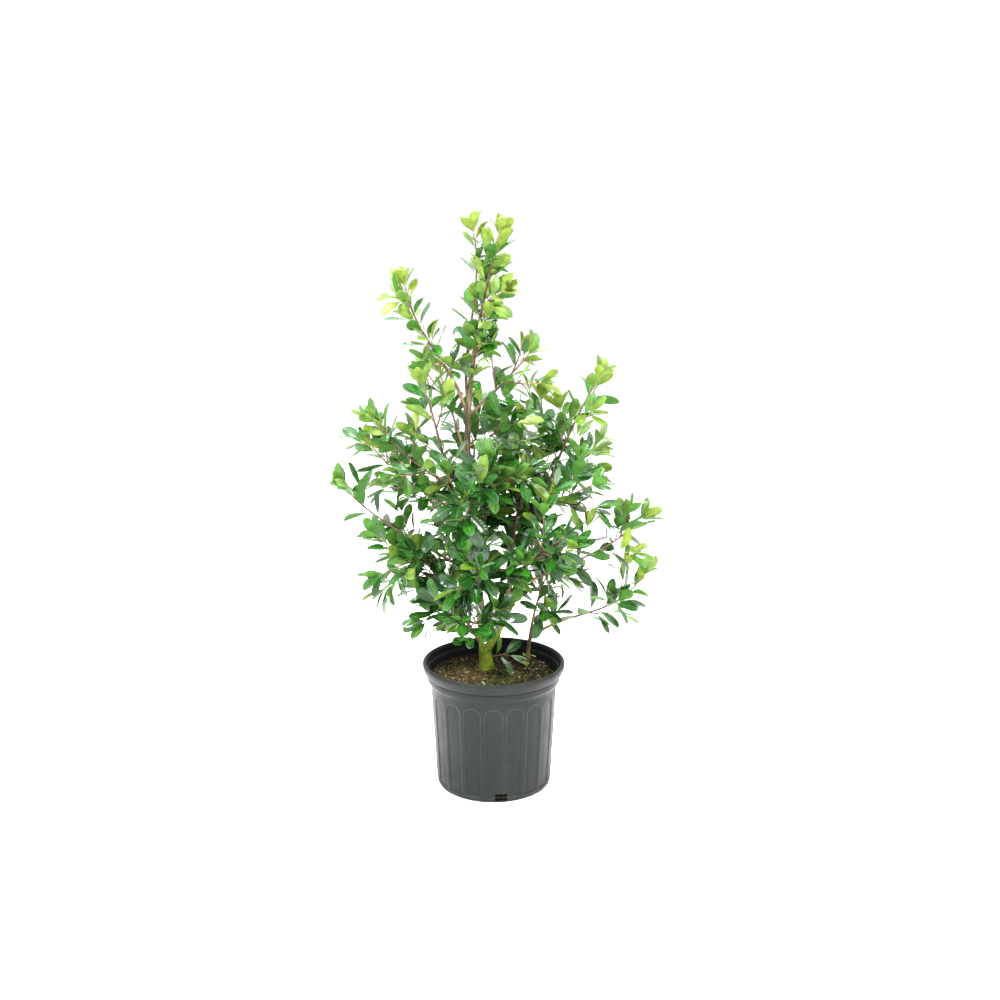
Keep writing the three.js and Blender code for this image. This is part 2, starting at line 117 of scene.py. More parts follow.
scene.view_settings.view_transform = "Standard"
scene.view_settings.look = "None"
scene.world = bpy.data.worlds.new("studio")
scene.world.use_nodes = True
background = scene.world.node_tree.nodes["Background"]
background.inputs["Color"].default_value = (1.0, 1.0, 1.0, 1)
background.inputs["Strength"].default_value = WORLD_STRENGTH
for name, settings in LIGHTS.items():
    soft_light(name, *settings)

# %% [markdown]
# ## From arrays to pieces
# Every piece is an array of points and arrays of faces.

# %% The helper that makes a piece
PER_METRE = 1000.0


def make_piece(name, points, faces, finishes, slot="", nodes=(), tints=None, vectors=None):
    """A mesh object of points in millimetres. `faces` is a list of index arrays, one row per face,
    `tints` a list of material numbers that matches it, and `vectors` named values per point."""
    mesh = bpy.data.meshes.new(name)
    sizes = np.concatenate([np.full(len(f), f.shape[1]) for f in faces])
    corners = np.concatenate([f.ravel() for f in faces]).astype(np.int32)
    mesh.vertices.add(len(points))
    mesh.vertices.foreach_set("co", (points / PER_METRE).astype(np.float32).ravel())
    mesh.loops.add(len(corners))
    mesh.loops.foreach_set("vertex_index", corners)
    mesh.polygons.add(len(sizes))
    mesh.polygons.foreach_set("loop_start", (np.cumsum(sizes) - sizes).astype(np.int32))
    if tints is not None:
        mesh.polygons.foreach_set("material_index", np.concatenate(tints).astype(np.int32))
    mesh.polygons.foreach_set("use_smooth", np.ones(len(sizes), bool))
    for label, values in (vectors or {}).items():
        kind, field = ("FLOAT", "value") if values.ndim == 1 else ("FLOAT_VECTOR", "vector")
        attribute = mesh.attributes.new(label, kind, "POINT")
        attribute.data.foreach_set(field, values.astype(np.float32).ravel())
    mesh.update(calc_edges=True)
    piece = placed(name, mesh)
    for finish in finishes:
        mesh.materials.append(finish)
    if slot:
        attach(piece, "root")
        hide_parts(*nodes)
    print(name, "has", int((sizes - 2).sum()), "triangles")
    return piece


# %% [markdown]
# ## Materials from nodes
# A material is one Principled shader. What varies over the surface, such as the colour, the gloss
# and the small relief, comes from noise on the piece's own coordinates. Placing each node and each
# link by hand takes many lines, so a class adds one kind of node with each method, and a finish
# further down reads like a recipe.

# %% Colours
def srgb(red, green, blue):
    """A colour given as 0 to 255 on a screen, as the linear colour that a shader takes: the
    screen's curve is undone, which is a power of 2.4 and near black a straight line."""
    c = np.array([red, green, blue]) / 255
    linear = np.where(c <= 0.04045, c / 12.92, ((c + 0.055) / 1.055) ** 2.4)
    return (*[float(x) for x in linear], 1.0)


def scaled(colour, share):
    """A darker or lighter colour: each channel times the share, and at most 1."""
    return tuple(np.minimum(np.multiply(colour, share), 1.0))


print("middle grey as a shader takes it:", srgb(119, 119, 119))


# %% A finish and its nodes
class Finish:
    """A material with one Principled shader. Most methods add one kind of node to it and return
    that node's output."""

    def __init__(self, name, roughness, specular=0.5, **constants):
        self.material = bpy.data.materials.new(name)
        self.material.use_nodes = True
        self.tree = self.material.node_tree
        self.shader = self.tree.nodes["Principled BSDF"]
        self.bump = None
        constants.update(Roughness=roughness, Specular_IOR_Level=specular)
        for socket, value in constants.items():
            self.lead(value, socket.replace("_", " "))

    def lead(self, value, socket, node=None):
        """Links a node's output into a socket of the shader or of a node. A constant is set on the
        socket itself."""
        socket = (node or self.shader).inputs[socket]
        if isinstance(value, bpy.types.NodeSocket):
            self.tree.links.new(value, socket)
        else:
            socket.default_value = value

    def node(self, kind, inputs, output=0, **settings):
        """One output of a new node with these settings and inputs."""
        made = self.tree.nodes.new("ShaderNode" + kind)
        for setting, value in settings.items():
            setattr(made, setting, value)
        for socket, value in inputs.items():
            self.lead(value, socket, made)
        return made.outputs[output]

    def own(self, label, output="Fac"):
        """A named value that the piece carries at its points."""
        return self.node("Attribute", {}, output, attribute_name=label)

    def noise(self, scale, detail=4, stretch=(1, 1, 1), attribute=""):
        """Noise from 0 to 1 on the piece's Object coordinates, or on an attribute of its own."""
        if attribute:
            place = self.own(attribute, "Vector")
        else:
            place = self.node("TexCoord", {}, "Object")
        place = self.node("Mapping", {"Vector": place, "Scale": stretch})
        return self.node("TexNoise", {"Vector": place, "Scale": scale, "Detail": detail}, "Fac")

    def ramp(self, value, *stops):
        """A colour for each value: `stops` are pairs of a position and a colour."""
        colour_out = self.node("ValToRGB", {"Fac": value}, "Color")
        elements = colour_out.node.color_ramp.elements
        while len(elements) < len(stops):
            elements.new(0.5)
        for element, (position, colour) in zip(elements, stops):
            element.position, element.color = position, colour
        return colour_out

    def span(self, value, low, high, start=0.3, end=0.7):
        """The value stretched from start..end to low..high."""
        return self.node("MapRange", {"Value": value, "From Min": start, "From Max": end,
                                      "To Min": low, "To Max": high}, "Result")

    def blend(self, share, first, second):
        """The first colour where the share is 0 and the second where it is 1."""
        return self.node("Mix", {0: share, 6: first, 7: second}, 2, data_type="RGBA")

    def relief(self, height, depth):
        """A bump of `depth` millimetres for a height from 0 to 1, on top of the bumps before it."""
        under = {} if self.bump is None else {"Normal": self.bump}
        self.bump = self.node("Bump", {"Strength": 1.0, "Distance": depth / PER_METRE,
                                       "Height": height, **under})
        self.lead(self.bump, "Normal")


# %% [markdown]
# ## The floor
# The studio floor is plain white paper. One flat disc does, so wide that its edge isn't seen, and
# with a faint mottle so that it isn't a dead flat colour. It is part of the stage, not of the
# plant.

# %% The floor
FLOOR_RADIUS = 30000


def cap_faces(centre, first, columns, upward):
    """Triangles from a centre point to a closed ring of points, wound for the given side."""
    a = first + np.arange(columns)
    b = first + (np.arange(columns) + 1) % columns
    middle = np.full(columns, centre)
    return np.stack([middle, a, b] if upward else [middle, b, a], -1)


def make_floor(columns=96):
    """A disc: a centre point, and a ring of points at FLOOR_RADIUS."""
    angle = np.arange(columns) * 2 * np.pi / columns
    ring = FLOOR_RADIUS * np.stack([np.cos(angle), np.sin(angle), 0 * angle], -1)
    paper = Finish("white_paper", 0.75, specular=0.1)
    mottle = paper.ramp(paper.noise(3.0), (0.3, srgb(249, 249, 249)), (0.7, srgb(252, 252, 252)))
    paper.lead(mottle, "Base Color")
    make_piece("studio_floor", np.vstack([[0, 0, 0], ring]),
                        [cap_faces(0, 1, columns, True)], [paper.material])


make_floor()

# %% [markdown]
# ## The pot
# A nursery pot is blown or moulded from dark recycled plastic. Its wall leans out a little, and
# has 18 sunken panels with round heads, a collar and a broad rolled rim. The foot has four drain
# holes with small bars in them. The panels could be cut into a turned wall, but cutting leaves
# ragged edges. So the whole pot is one surface of revolution, and the panels and holes are a
# function of its two parameters: the angle round the pot and the place along the profile.

# %% The pot's profile
OUTSIDE = [  # radius and height, from the middle of the underside up to the rim
    (60, 0), (107, 0), (111.2, 0.2), (113.4, 2.2), (114.2, 8), (114.9, 14), (119.8, 104),
    (124.5, 194), (124.9, 201), (125.4, 207), (126.6, 212.6), (130.2, 216.6), (132.3, 218.6),
    (132.8, 221), (133.4, 228), (132.9, 230.6), (132.7, 231.6), (134.9, 232.4), (138.2, 234.2),
    (140.4, 240), (142.1, 245.6), (142.3, 250.4), (140.6, 254.1), (137.2, 254.3), (134.9, 253.2),
]
INSIDE = [  # from the rim down to the floor inside
    (133.8, 250), (132.8, 242), (132.3, 238.4), (130.4, 237.4), (129.8, 236), (128.6, 229),
    (127.6, 222), (122.4, 212), (118.4, 202), (107.6, 9), (106, 4), (98, 3.2), (50, 3),
]
# The longest step between points of the profile, from one height to another.
DENSE = [(0, 0.1, 20), (0.1, 24, 1.25), (24, 158, 9), (158, 212, 1.7), (212, 260, 2.2)]
SHORTEST = 0.7  # points of the profile that are nearer than this become one


def rounded(outline, times):
    """Corner cutting: each corner gives way to the points at a quarter and at three quarters of
    its two edges, and the ends stay."""
    line = np.array(outline, float)
    for _ in range(times):
        a, b = line[:-1], line[1:]
        cut = np.stack([0.75 * a + 0.25 * b, 0.25 * a + 0.75 * b], 1).reshape(-1, 2)
        line = np.vstack([line[:1], cut, line[-1:]])
    return line


def spaced(line, outer):
    """The line with points added so that none are further apart than DENSE allows at that height.
    Past the first `outer` points, inside the pot, three times that is enough."""
    rows = [line[:1]]
    for number, (a, b) in enumerate(zip(line[:-1], line[1:])):
        height = (a[1] + b[1]) / 2
        step = next(gap for low, high, gap in DENSE if low <= height <= high)
        step *= 1 if number < outer else 3
        count = max(1, int(np.ceil(np.linalg.norm(b - a) / step)))
        rows.append(a + (b - a) * (np.arange(1, count + 1) / count)[:, None])
    return np.vstack(rows)


outside, inside = rounded(OUTSIDE, 2), rounded(INSIDE, 1)
profile = spaced(np.vstack([outside, inside]), len(outside))
way = np.cumsum(np.append(1, np.linalg.norm(np.diff(profile, axis=0), axis=1)))
profile = profile[np.append(True, np.diff(way // SHORTEST) > 0)]
top_row = int(np.argmax(profile[:, 1]))
print("profile rows:", len(profile), "outside rows:", top_row)

# %% Panels and drain holes as functions of angle and height
PANELS, PANEL_HALF = 18, 8.1  # how many, and half of one in degrees
PANEL_FOOT, PANEL_HEAD, PANEL_DEPTH = 10.0, 197.0, 1.5
HOLES, HOLE_TURN = 4, -82.5  # how many, and the angle of the first in degrees
HOLE_HALF, HOLE_FOOT, HOLE_HEAD = 11.6, 2.8, 18.2
BAR_ACROSS, BAR_HEIGHT = 3.9, 10.4  # two upright bars, and one level one


def smoothstep(x, low, high):
    """0 below `low` and 1 above `high`, with the curve 3t^2 - 2t^3 between them."""
    t = np.clip((x - low) / (high - low), 0, 1)
    return t * t * (3 - 2 * t)


def panel_distance(angle, radius, height):
    """Distance to the outline of the nearest panel, negative inside it: the distance to a strip
    that ends above in a half circle, or to its flat foot, whichever is greater."""
    pitch = 2 * np.pi / PANELS
    across = (np.mod(angle, pitch) - pitch / 2) * radius
    half = np.radians(PANEL_HALF) * radius
    above = np.maximum(height - (PANEL_HEAD - half), 0)
    return np.maximum(np.hypot(across, above) - half, PANEL_FOOT - height)


def hole_distance(angle, radius, height, corner=2):
    """Distance to the outline of the nearest drain hole, negative inside, and the place across it.
    The hole is a rectangle with round corners."""
    pitch = 2 * np.pi / HOLES
    across = (np.mod(angle - np.radians(HOLE_TURN) + pitch / 2, pitch) - pitch / 2) * radius
    middle, half = (HOLE_FOOT + HOLE_HEAD) / 2, (HOLE_HEAD - HOLE_FOOT) / 2
    beyond = np.stack([np.abs(across) - HOLE_HALF, np.abs(height - middle) - half]) + corner
    return np.hypot(*np.maximum(beyond, 0)) + np.minimum(beyond.max(0), 0) - corner, across


def pot_relief(angle, radius, height):
    """How far the wall is moved in, the painted highlight along the panels' edges, and the holes'
    part of the move. A panel sinks over a rounded edge with a fine raised line round it, and a hole
    goes deep except at its bars."""
    panel = panel_distance(angle, radius, height)
    raised = 0.3 * np.exp(-((panel - 0.6) / 0.8) ** 2)
    sunk = PANEL_DEPTH * smoothstep(-panel, -0.4, 1.9) - raised
    hole, across = hole_distance(angle, radius, height)
    bars = np.minimum(np.abs(np.abs(across) - BAR_ACROSS), np.abs(height - BAR_HEIGHT))
    deep = smoothstep(-hole, -0.4, 0.7) * (1.0 + 3.4 * smoothstep(bars, 0.4, 1.2))
    # Painted highlight: a paler colour along the panels' outlines, stronger toward their round
    # heads.
    edge_highlight = np.exp(-((panel - 0.5) / 1.0) ** 2) * (0.3 + 0.7 * smoothstep(height, 150, 186))
    return sunk + deep, edge_highlight, deep


print("a panel sinks by", PANEL_DEPTH, "mm and is", PANEL_HEAD - PANEL_FOOT, "mm tall")

# %% [markdown]
# The plastic is matte and nearly black, a little greenish. In one even colour it would look like a
# toy, so it gets faint clouds, dust and dull stains, and paler lines along the panels' edges,
# which are a painted highlight.

# %% The pot's materials
def pot_plastic(name, colour, lighter):
    """Matte moulded plastic: clouds, dust and stains in noise of three sizes, the lighter colour
    as a painted highlight along the panels' edges, and a fine grain of a twentieth of a millimetre."""
    finish = Finish(name, 0.4, specular=0.16, Sheen_Weight=0.07, Sheen_Roughness=0.45)
    clouds = finish.noise(11, detail=5, stretch=(1, 1, 0.6))
    dust = finish.noise(120, detail=7)
    tone = finish.ramp(clouds, (0.35, colour), (0.68, scaled(colour, 1.35)))
    tone = finish.blend(finish.span(dust, 0.0, 0.05, 0.45, 0.75), tone, lighter)
    stains = finish.noise(17, detail=6, stretch=(1, 1, 0.5))
    stained = scaled(colour, (2.1, 1.7, 1.6, 1.0))
    tone = finish.blend(finish.span(stains, 0.0, 0.4, 0.52, 0.66), tone, stained)
    # Painted highlight: the lighter colour laid along the panels' edges, where they catch the light.
    tone = finish.blend(finish.span(finish.own("edge"), 0, 0.2, 0, 1), tone, lighter)
    finish.lead(tone, "Base Color")
    finish.lead(finish.span(finish.noise(42), 0.36, 0.5), "Roughness")
    finish.relief(finish.noise(60, detail=2), 0.3)
    finish.relief(finish.noise(1500, detail=2), 0.05)
    return finish.material


# The drain holes: flecks of soil on near-black, which is painted shade for the hole's dark inside.
hole_soil_and_painted_shade = Finish("soil_and_painted_shade_in_the_holes", 0.95, specular=0.05)
hole_soil_and_painted_shade.lead(hole_soil_and_painted_shade.ramp(hole_soil_and_painted_shade.noise(420), (0.46, srgb(5, 5, 5)),
                              (0.72, srgb(58, 52, 40))), "Base Color")
# The inside's plastic is a darker, bluer copy of the outside's: painted shade for the inner wall.
pot_finishes = [pot_plastic("pot_plastic", srgb(26, 30, 28), srgb(100, 106, 100)),
                pot_plastic("pot_plastic_inside_painted_shade", srgb(18, 20, 25), srgb(50, 54, 62)),
                hole_soil_and_painted_shade.material]
print("pot finishes:", [finish.name for finish in pot_finishes])


# %% The pot as one surface
def lumps(points, size, seed=0):
    """Value noise from -1 to 1: a chance number at each corner of a lattice with cells of `size`,
    and between the corners their mix with the smoothstep curve."""
    place = np.asarray(points, float) / size + seed * 17.31
    cell = np.floor(place)
    share = place - cell
    share = share * share * (3 - 2 * share)
    total = np.zeros(place.shape[:-1])
    for corner in np.ndindex(2, 2, 2):
        spot = (cell + corner) @ np.array([12.9898, 78.233, 37.719])
        value = np.modf(np.abs(np.sin(spot) * 43758.5453))[0]
        total += value * np.where(corner, share, 1 - share).prod(-1)
    return 2 * total - 1


def sheet_faces(rows, columns):
    """The four-sided faces of a grid of points, row by row, and joined round."""
    row, column = np.meshgrid(np.arange(rows - 1), np.arange(columns), indexing="ij")
    beside = (column + 1) % columns
    return np.stack([row * columns + column, row * columns + beside,
                     (row + 1) * columns + beside, (row + 1) * columns + column],
                    -1).reshape(-1, 4)


def turned(radius, angle, height):
    """Points from their radius and angle round Z and their height."""
    return np.stack([radius * np.cos(angle), radius * np.sin(angle), height], -1)


def make_pot(columns=480):
    """The profile turned round Z, with the outer wall moved in by the relief. Both ends of the
    profile are closed with a centre point."""
    angle = (np.arange(columns) + 0.5) * 2 * np.pi / columns
    radius, height = (np.repeat(p[:, None], columns, 1) for p in profile.T)
    angle = np.repeat(angle[None], len(profile), 0)
    moved, edge_highlight, deep = pot_relief(angle, radius, height)
    outer_wall = (np.arange(len(profile)) < top_row)[:, None] & (height > 2.6) & (height < 205)
    radius = radius - np.where(outer_wall, moved, 0)
    radius += 0.2 * lumps(turned(40, angle, height), 30)
    wall = turned(radius, angle, height).reshape(-1, 3)
    points = np.vstack([wall, [[0, 0, profile[0, 1]], [0, 0, profile[-1, 1]]]])
    quads = sheet_faces(len(profile), columns)
    # Faces inside the pot take the darker copy of the plastic, which is painted shade.
    tint = np.where(quads[:, 0] // columns >= top_row, 1, 0)
    # Faces deep in a drain hole take the soil flecks on painted shade.
    tint[np.where(outer_wall, deep, 0).ravel()[quads].mean(1) > 1.5] = 2
    last = (len(profile) - 1) * columns
    # The points carry the painted highlight of the panels' edges as the value "edge".
    make_piece("nursery_pot", points,
               [quads, cap_faces(len(wall), 0, columns, False),
                cap_faces(len(wall) + 1, last, columns, True)],
               pot_finishes, "pot_plastic", ["pot"],
               [tint, np.zeros(columns), np.ones(columns)],
               {"edge": np.append(np.where(outer_wall, edge_highlight, 0).ravel(), [0, 0])})


make_pot()

# %% [markdown]
# ## The soil
# The pot is filled to about 25 mm below its rim with a bark mix: dark brown, lumpy and crumbly,
# paler where it is dry and olive where moss grows. A flat disc with bump would show a clean edge,
# so the bed is a polar sheet that noise lifts and lowers, closed down to the pot's floor. The dry
# and the mossy patches are values at its points, which its material and the chips on it both read.

# %% The bed of soil
SOIL_TOP = 227.0


def bed_height(x, y):
    """The height of the soil's surface: a fall to the wall, a low mound round the stem, and noise
    in three sizes."""
    spot = np.stack([x, y, 0 * x], -1)
    far = np.hypot(x, y)
    mound = 4.0 * np.exp(-(((x + 14) ** 2 + (y - 22) ** 2) / 30.0**2))
    rough = 1.7 * lumps(spot, 24, 1) + 1.3 * lumps(spot, 9, 2) + 0.9 * lumps(spot, 3.6, 3)
    return SOIL_TOP - 1.2 - 2.5 * smoothstep(far, 104, 127) + mound + rough


def bed_patches(x, y):
    """How dry and how mossy the soil is at a place, from 0 to 1: each fades with the distance from
    its middle, to which noise is added so that the edge is ragged."""
    spot = np.stack([x, y, 0 * x], -1)
    ragged = 22 * lumps(spot, 17, 5) + 12 * lumps(spot, 6, 6)
    dry = 1 - smoothstep(np.hypot(x + 52, y + 6) + ragged, 24, 66)
    mossy = 1 - smoothstep(np.hypot(x - 22, y + 26) + ragged, 18, 62)
    return dry, mossy


def bark_mix(name, dark, plain, dry, moss):
    """Crumbly bark mix: each colour runs from dark to light in fine noise, the brown one shows
    where the bed is dry and the olive one in the moss, and the relief is deep and fine."""
    finish = Finish(name, 0.92, specular=0.15)
    crumbs = finish.noise(260, detail=8)
    plain, moss, dry = (
        finish.ramp(crumbs, (0.34, dark), (middle, colour), (0.72, scaled(colour, 2.1)))
        for colour, middle in ((plain, 0.52), (moss, 0.52), (dry, 0.5)))
    tone = finish.blend(finish.own("dry"), plain, dry)
    finish.lead(finish.blend(finish.own("mossy"), tone, moss), "Base Color")
    finish.relief(finish.noise(300, detail=8), 1.6)
    finish.relief(finish.noise(1300, detail=4), 0.5)
    return finish.material


def make_soil(columns=240, rings=70):
    """A ring for each radius on the top, then down the wall and in along the floor."""
    side = np.array([(126.4, 222.5), (120.4, 211.5), (116.4, 201), (105.9, 4.2), (60, 3.6)])
    far = np.concatenate([np.linspace(2, 126.2, rings), side[:, 0]])
    angle = np.arange(columns) * 2 * np.pi / columns
    x, y = far[:, None] * np.cos(angle), far[:, None] * np.sin(angle)
    level = bed_height(x, y)
    level[rings:] = side[:, 1:]
    middle = bed_height(np.zeros(1), np.zeros(1))[0]
    points = np.vstack([np.stack([x, y, level], -1).reshape(-1, 3),
                        [[0, 0, middle], [0, 0, side[-1, 1]]]])
    count = len(far) * columns
    caps = [cap_faces(count, 0, columns, True),
            cap_faces(count + 1, count - columns, columns, False)]
    dry, mossy = bed_patches(points[:, 0], points[:, 1])
    mix = bark_mix("potting_soil", srgb(22, 20, 11), srgb(50, 46, 27), srgb(76, 60, 35),
                   srgb(70, 74, 38))
    make_piece("soil_bed", points, [sheet_faces(len(far), columns)[:, ::-1], *caps], [mix],
               "potting_soil", ["soil"], vectors={"dry": dry, "mossy": mossy})


make_soil()

# %% [markdown]
# On the bed lie thousands of loose crumbs: chips of bark in dark, brown and tan, bits of moss, a
# few pale grains, and thin fibres. Each is a bent block of eight corners, which is enough at their
# size, and all of them are one array. Where the bed is dry there are more brown ones, and more
# olive ones in the moss.

# %% Loose chips on the soil
CHIP_COLOURS = {"dark": (35, 31, 18), "brown": (84, 70, 42), "tan": (150, 128, 84),
                "moss": (112, 124, 58), "pale": (206, 206, 188)}
PLAIN_ODDS = np.array([0.66, 0.22, 0.05, 0.03, 0.04])  # of each colour, in the order above
DRY_ODDS = np.array([0.36, 0.46, 0.13, 0.03, 0.02])
MOSSY_ODDS = np.array([0.4, 0.16, 0.1, 0.32, 0.02])
FIBRE_ODDS = [0.2, 0.45, 0.2, 0.15]  # of the first four colours


def chip_finish(name, colour):
    """One chip colour, darker in its pores."""
    finish = Finish(name, 0.9, specular=0.2)
    pores = finish.noise(700, detail=3)
    finish.lead(finish.ramp(pores, (0.35, scaled(colour, 0.45)), (0.6, colour)), "Base Color")
    finish.relief(pores, 0.3)
    return finish.material


def make_chips(count=3000, seed=7):
    """Blocks of eight corners, each corner pushed about, turned at random and laid on the bed. One
    in four is a fibre: long and thin."""
    rng = np.random.default_rng(seed)
    far, turn = 124 * np.sqrt(rng.random(count)), 2 * np.pi * rng.random(count)
    x, y = far * np.cos(turn), far * np.sin(turn)
    size = np.stack([rng.uniform(1.2, 5.2, count) * rng.choice([1, 1, 1.8], count),
                     rng.uniform(0.8, 2.4, count), rng.uniform(0.5, 1.5, count)], -1)
    size[::4] *= (2.4, 0.36, 0.5)
    corners = np.array([(i, j, k) for k in (-1, 1) for j in (-1, 1) for i in (-1, 1)]) / 2
    block = corners[None] * (1 + 0.5 * (rng.random((count, 8, 1)) - 0.5)) * size[:, None]
    yaw, tip = 2 * np.pi * rng.random(count), rng.normal(0, 0.45, count)
    ahead = np.stack([np.cos(yaw) * np.cos(tip), np.sin(yaw) * np.cos(tip), np.sin(tip)], -1)
    beside = np.stack([-np.sin(yaw), np.cos(yaw), 0 * yaw], -1)
    over = np.cross(ahead, beside)
    block = (block[..., :1] * ahead[:, None] + block[..., 1:2] * beside[:, None]
             + block[..., 2:] * over[:, None])
    place = np.stack([x, y, bed_height(x, y) + 0.35 * size[:, 2]], -1)
    faces = np.array([(0, 2, 3, 1), (4, 5, 7, 6), (0, 1, 5, 4), (2, 6, 7, 3), (0, 4, 6, 2),
                      (1, 3, 7, 5)])
    faces = (faces[None] + 8 * np.arange(count)[:, None, None]).reshape(-1, 4)
    dry, mossy = (share[:, None] for share in bed_patches(x, y))
    odds = PLAIN_ODDS * (1 - dry) + DRY_ODDS * dry
    odds = odds * (1 - mossy) + MOSSY_ODDS * mossy
    tint = np.minimum((rng.random((count, 1)) > np.cumsum(odds, 1)).sum(1), 4)
    tint[::4] = rng.choice([0, 1, 2, 3], len(tint[::4]), p=FIBRE_ODDS)
    finishes = [chip_finish("chip_" + name, srgb(*c)) for name, c in CHIP_COLOURS.items()]
    piece = make_piece("bark_chips", (block + place[:, None]).reshape(-1, 3), [faces], finishes,
                       "potting_soil", [], [np.repeat(tint, 6)])
    piece.data.polygons.foreach_set("use_smooth", np.zeros(6 * count, bool))


make_chips()

# %% [markdown]
# ## The rule that the plant grows by
# The CAD source grows the plant by a rule from a short table: where each bough leaves its parent,
# its heading, how it bends, and its length. The same rule is written again here, so that every
# limb lies where its CAD solid lies. A steady chance number takes the place of a random one, so
# both give the same plant each time.

# %% Bent lines
HEIGHT, FORK = 868.0, 0.7  # the plant's height above the soil, and the share of it below the fork
TWIG_TIP, POT_TOP = 1.4, 254.0


def chance(a, b=0, c=0):
    """A steady number from 0 to 1: the fraction of a large multiple of a sine."""
    wave = np.sin(a * 12.9898 + b * 78.233 + np.asarray(c) * 37.719) * 43758.5453
    return wave - np.floor(wave)


def bent_line(start, azimuth, rise, length, lift, bow, steps=24):
    """A centre line whose slope is the rise, plus the lift times the share of the way, plus the bow
    times the sine of half a turn."""
    s = (np.arange(steps) + 0.5) / steps
    slope = np.radians(rise + lift * s + bow * np.sin(np.pi * s))
    azimuth = np.radians(azimuth)
    step = turned(np.cos(slope), azimuth, np.sin(slope))
    return np.vstack([start, start + np.cumsum(step * length / steps, 0)])


def main_line(low, high, steps=24):
    """The main stem between two shares of its height. Sideways it is a straight lean to the right
    less half a sine wave, which bows it 50 mm to the left, and its depth runs evenly to zero."""
    w = np.linspace(low, high, steps + 1)
    bowed = -14 + 25 * w - 50 * np.sin(np.pi * w**1.2)
    return np.stack([bowed, 22 * (1 - w), SOIL_TOP - 4 + HEIGHT * w], -1)


print("the main stem forks at", main_line(0, FORK)[-1].round(1))

# %% Places along a line, and headings that leave it
UP, SIDEWAYS = np.array([0.0, 0, 1]), np.array([1.0, 0, 0])


def unit(vectors):
    """Each vector divided by its length."""
    return vectors / np.linalg.norm(vectors, axis=-1, keepdims=True)


def along(line, s):
    """The points at the shares `s` of a line, and the headings there."""
    place = np.clip(np.asarray(s, float), 0, 1) * (len(line) - 1)
    i = np.minimum(place.astype(int), len(line) - 2)
    step = line[i + 1] - line[i]
    return line[i] + (place - i)[..., None] * step, unit(step)


def part_of(line, length, low, high, step=45):
    """The part of a line between two shares, as the few straight stretches of the CAD solid: one
    for each `step` millimetres or each 16 degrees of turning."""
    (_, a), (_, b) = along(line, low), along(line, high)
    turning = np.degrees(np.arccos(np.clip(a @ b, -1, 1)))
    count = max(1, int((high - low) * length / step + 0.5), int(turning / 16 + 0.5))
    return along(line, np.linspace(low, high, count + 1))[0]


def branch_off(direction, turn, lean):
    """The headings that leave a heading by `lean` degrees, `turn` degrees round it from straight
    up: cos(lean) * heading + sin(lean) * side."""
    upward = UP - direction[..., 2:] * direction
    flat = SIDEWAYS - direction[..., :1] * direction
    upward = unit(np.where(np.linalg.norm(upward, axis=-1, keepdims=True) < 0.1, flat, upward))
    across = np.cross(direction, upward)
    turn, lean = (np.radians(np.asarray(v, float))[..., None] for v in (turn, lean))
    side = np.cos(turn) * upward + np.sin(turn) * across
    return direction * np.cos(lean) + np.sin(lean) * side


print("a twig that leaves a level bough by 45 degrees:",
      branch_off(SIDEWAYS, 0, 45).round(2))

# %% [markdown]
# Each bough has a row: its parent and the share of the parent's length where it leaves, or its
# place on the soil, then its azimuth and rise in degrees, how much the slope lifts and bows, its
# length, the share of it that is bare, its radius, and how many side twigs its leafy end has. A
# shoot is leafy all along, so instead of a bare share it has the share where its leaves begin.

# %% The table of boughs and shoots
BOUGH_COLUMNS = "name on at azimuth rise lift bow length bare radius twigs".split()
BOUGHS = [dict(zip(BOUGH_COLUMNS, row)) for row in (
    ("upper_left", "trunk", 0.85, 192, 79, 2, -23, 284, 0.45, 3.8, 0),
    ("upper_right", "trunk", 0.86, 350, 42, 8, 0, 170, 0.3, 3.4, 3),
    ("mid_right", "trunk", 0.76, 342, 24, 18, 0, 120, 0.3, 3, 3),
    ("mid_left", "trunk", 0.43, 218, 62, 8, 8, 350, 0.56, 5, 3),
    ("far_left", "trunk", 0.515, 171, 32, 21, -9, 250, 0.42, 3.8, 3),
    ("outer_left", "trunk", 0.587, 195, 38, 17, -8, 246, 0.4, 3.4, 4),
    ("low_left", "trunk", 0.323, 179, 37, 12, -12, 318, 0.42, 4, 1),
    ("lowest_left", "trunk", 0.35, 203, 34, -60, 0, 205, 0.34, 3.4, 4),
    ("left_stem", "trunk", 0.078, 200, 58, 0, 0, 256, 0.5, 4.4, 4),
    ("front_arch", "mid_left", 0.28, 319, 30, 0, 0, 150, 0.3, 3, 4),
    ("right_fork", "trunk", 0.077, 319, 45, 15, 32, 388, 0.62, 9.8, 4),
    ("back_stem", "right_fork", 0.19, 40, 48, 42, 12, 465, 0.6, 6.6, 4),
    ("right_upper", "back_stem", 0.432, 332, 74, -14, 0, 339, 0.52, 4, 3),
    ("right_mid", "trunk", 0.462, 338, 32, -2, -6, 274, 0.42, 4, 4),
    ("right_far", "back_stem", 0.574, 7, 46, -19, 4, 136, 0.34, 3.2, 3),
    ("right_low", "right_fork", 0.383, 7, 28, 16, -13, 298, 0.4, 3.8, 4),
    ("right_stem", "soil", (70, 90), 303, 84, -25, 0, 205, 0.54, 4, 4),
    ("lowest_right", "right_stem", 0.22, 349, 44, 22, -34, 278, 0.38, 3.4, 2),
    ("back_low", "trunk", 0.27, 95, 22, 12, 0, 265, 0.42, 3.8, 4),
    ("back_left", "trunk", 0.39, 130, 30, 10, 0, 260, 0.42, 3.6, 4),
    ("back_right", "trunk", 0.46, 62, 32, 8, 0, 255, 0.42, 3.6, 4),
    ("back_mid", "trunk", 0.57, 85, 42, 6, 0, 240, 0.38, 3.4, 3),
    ("back_high", "trunk", 0.72, 120, 52, 4, 0, 190, 0.34, 3, 2),
    ("back_lower_left", "trunk", 0.21, 152, 20, 14, 0, 250, 0.42, 3.4, 4),
)]
SHOOT_COLUMNS = "name on at azimuth rise lift bow length first radius twigs".split()
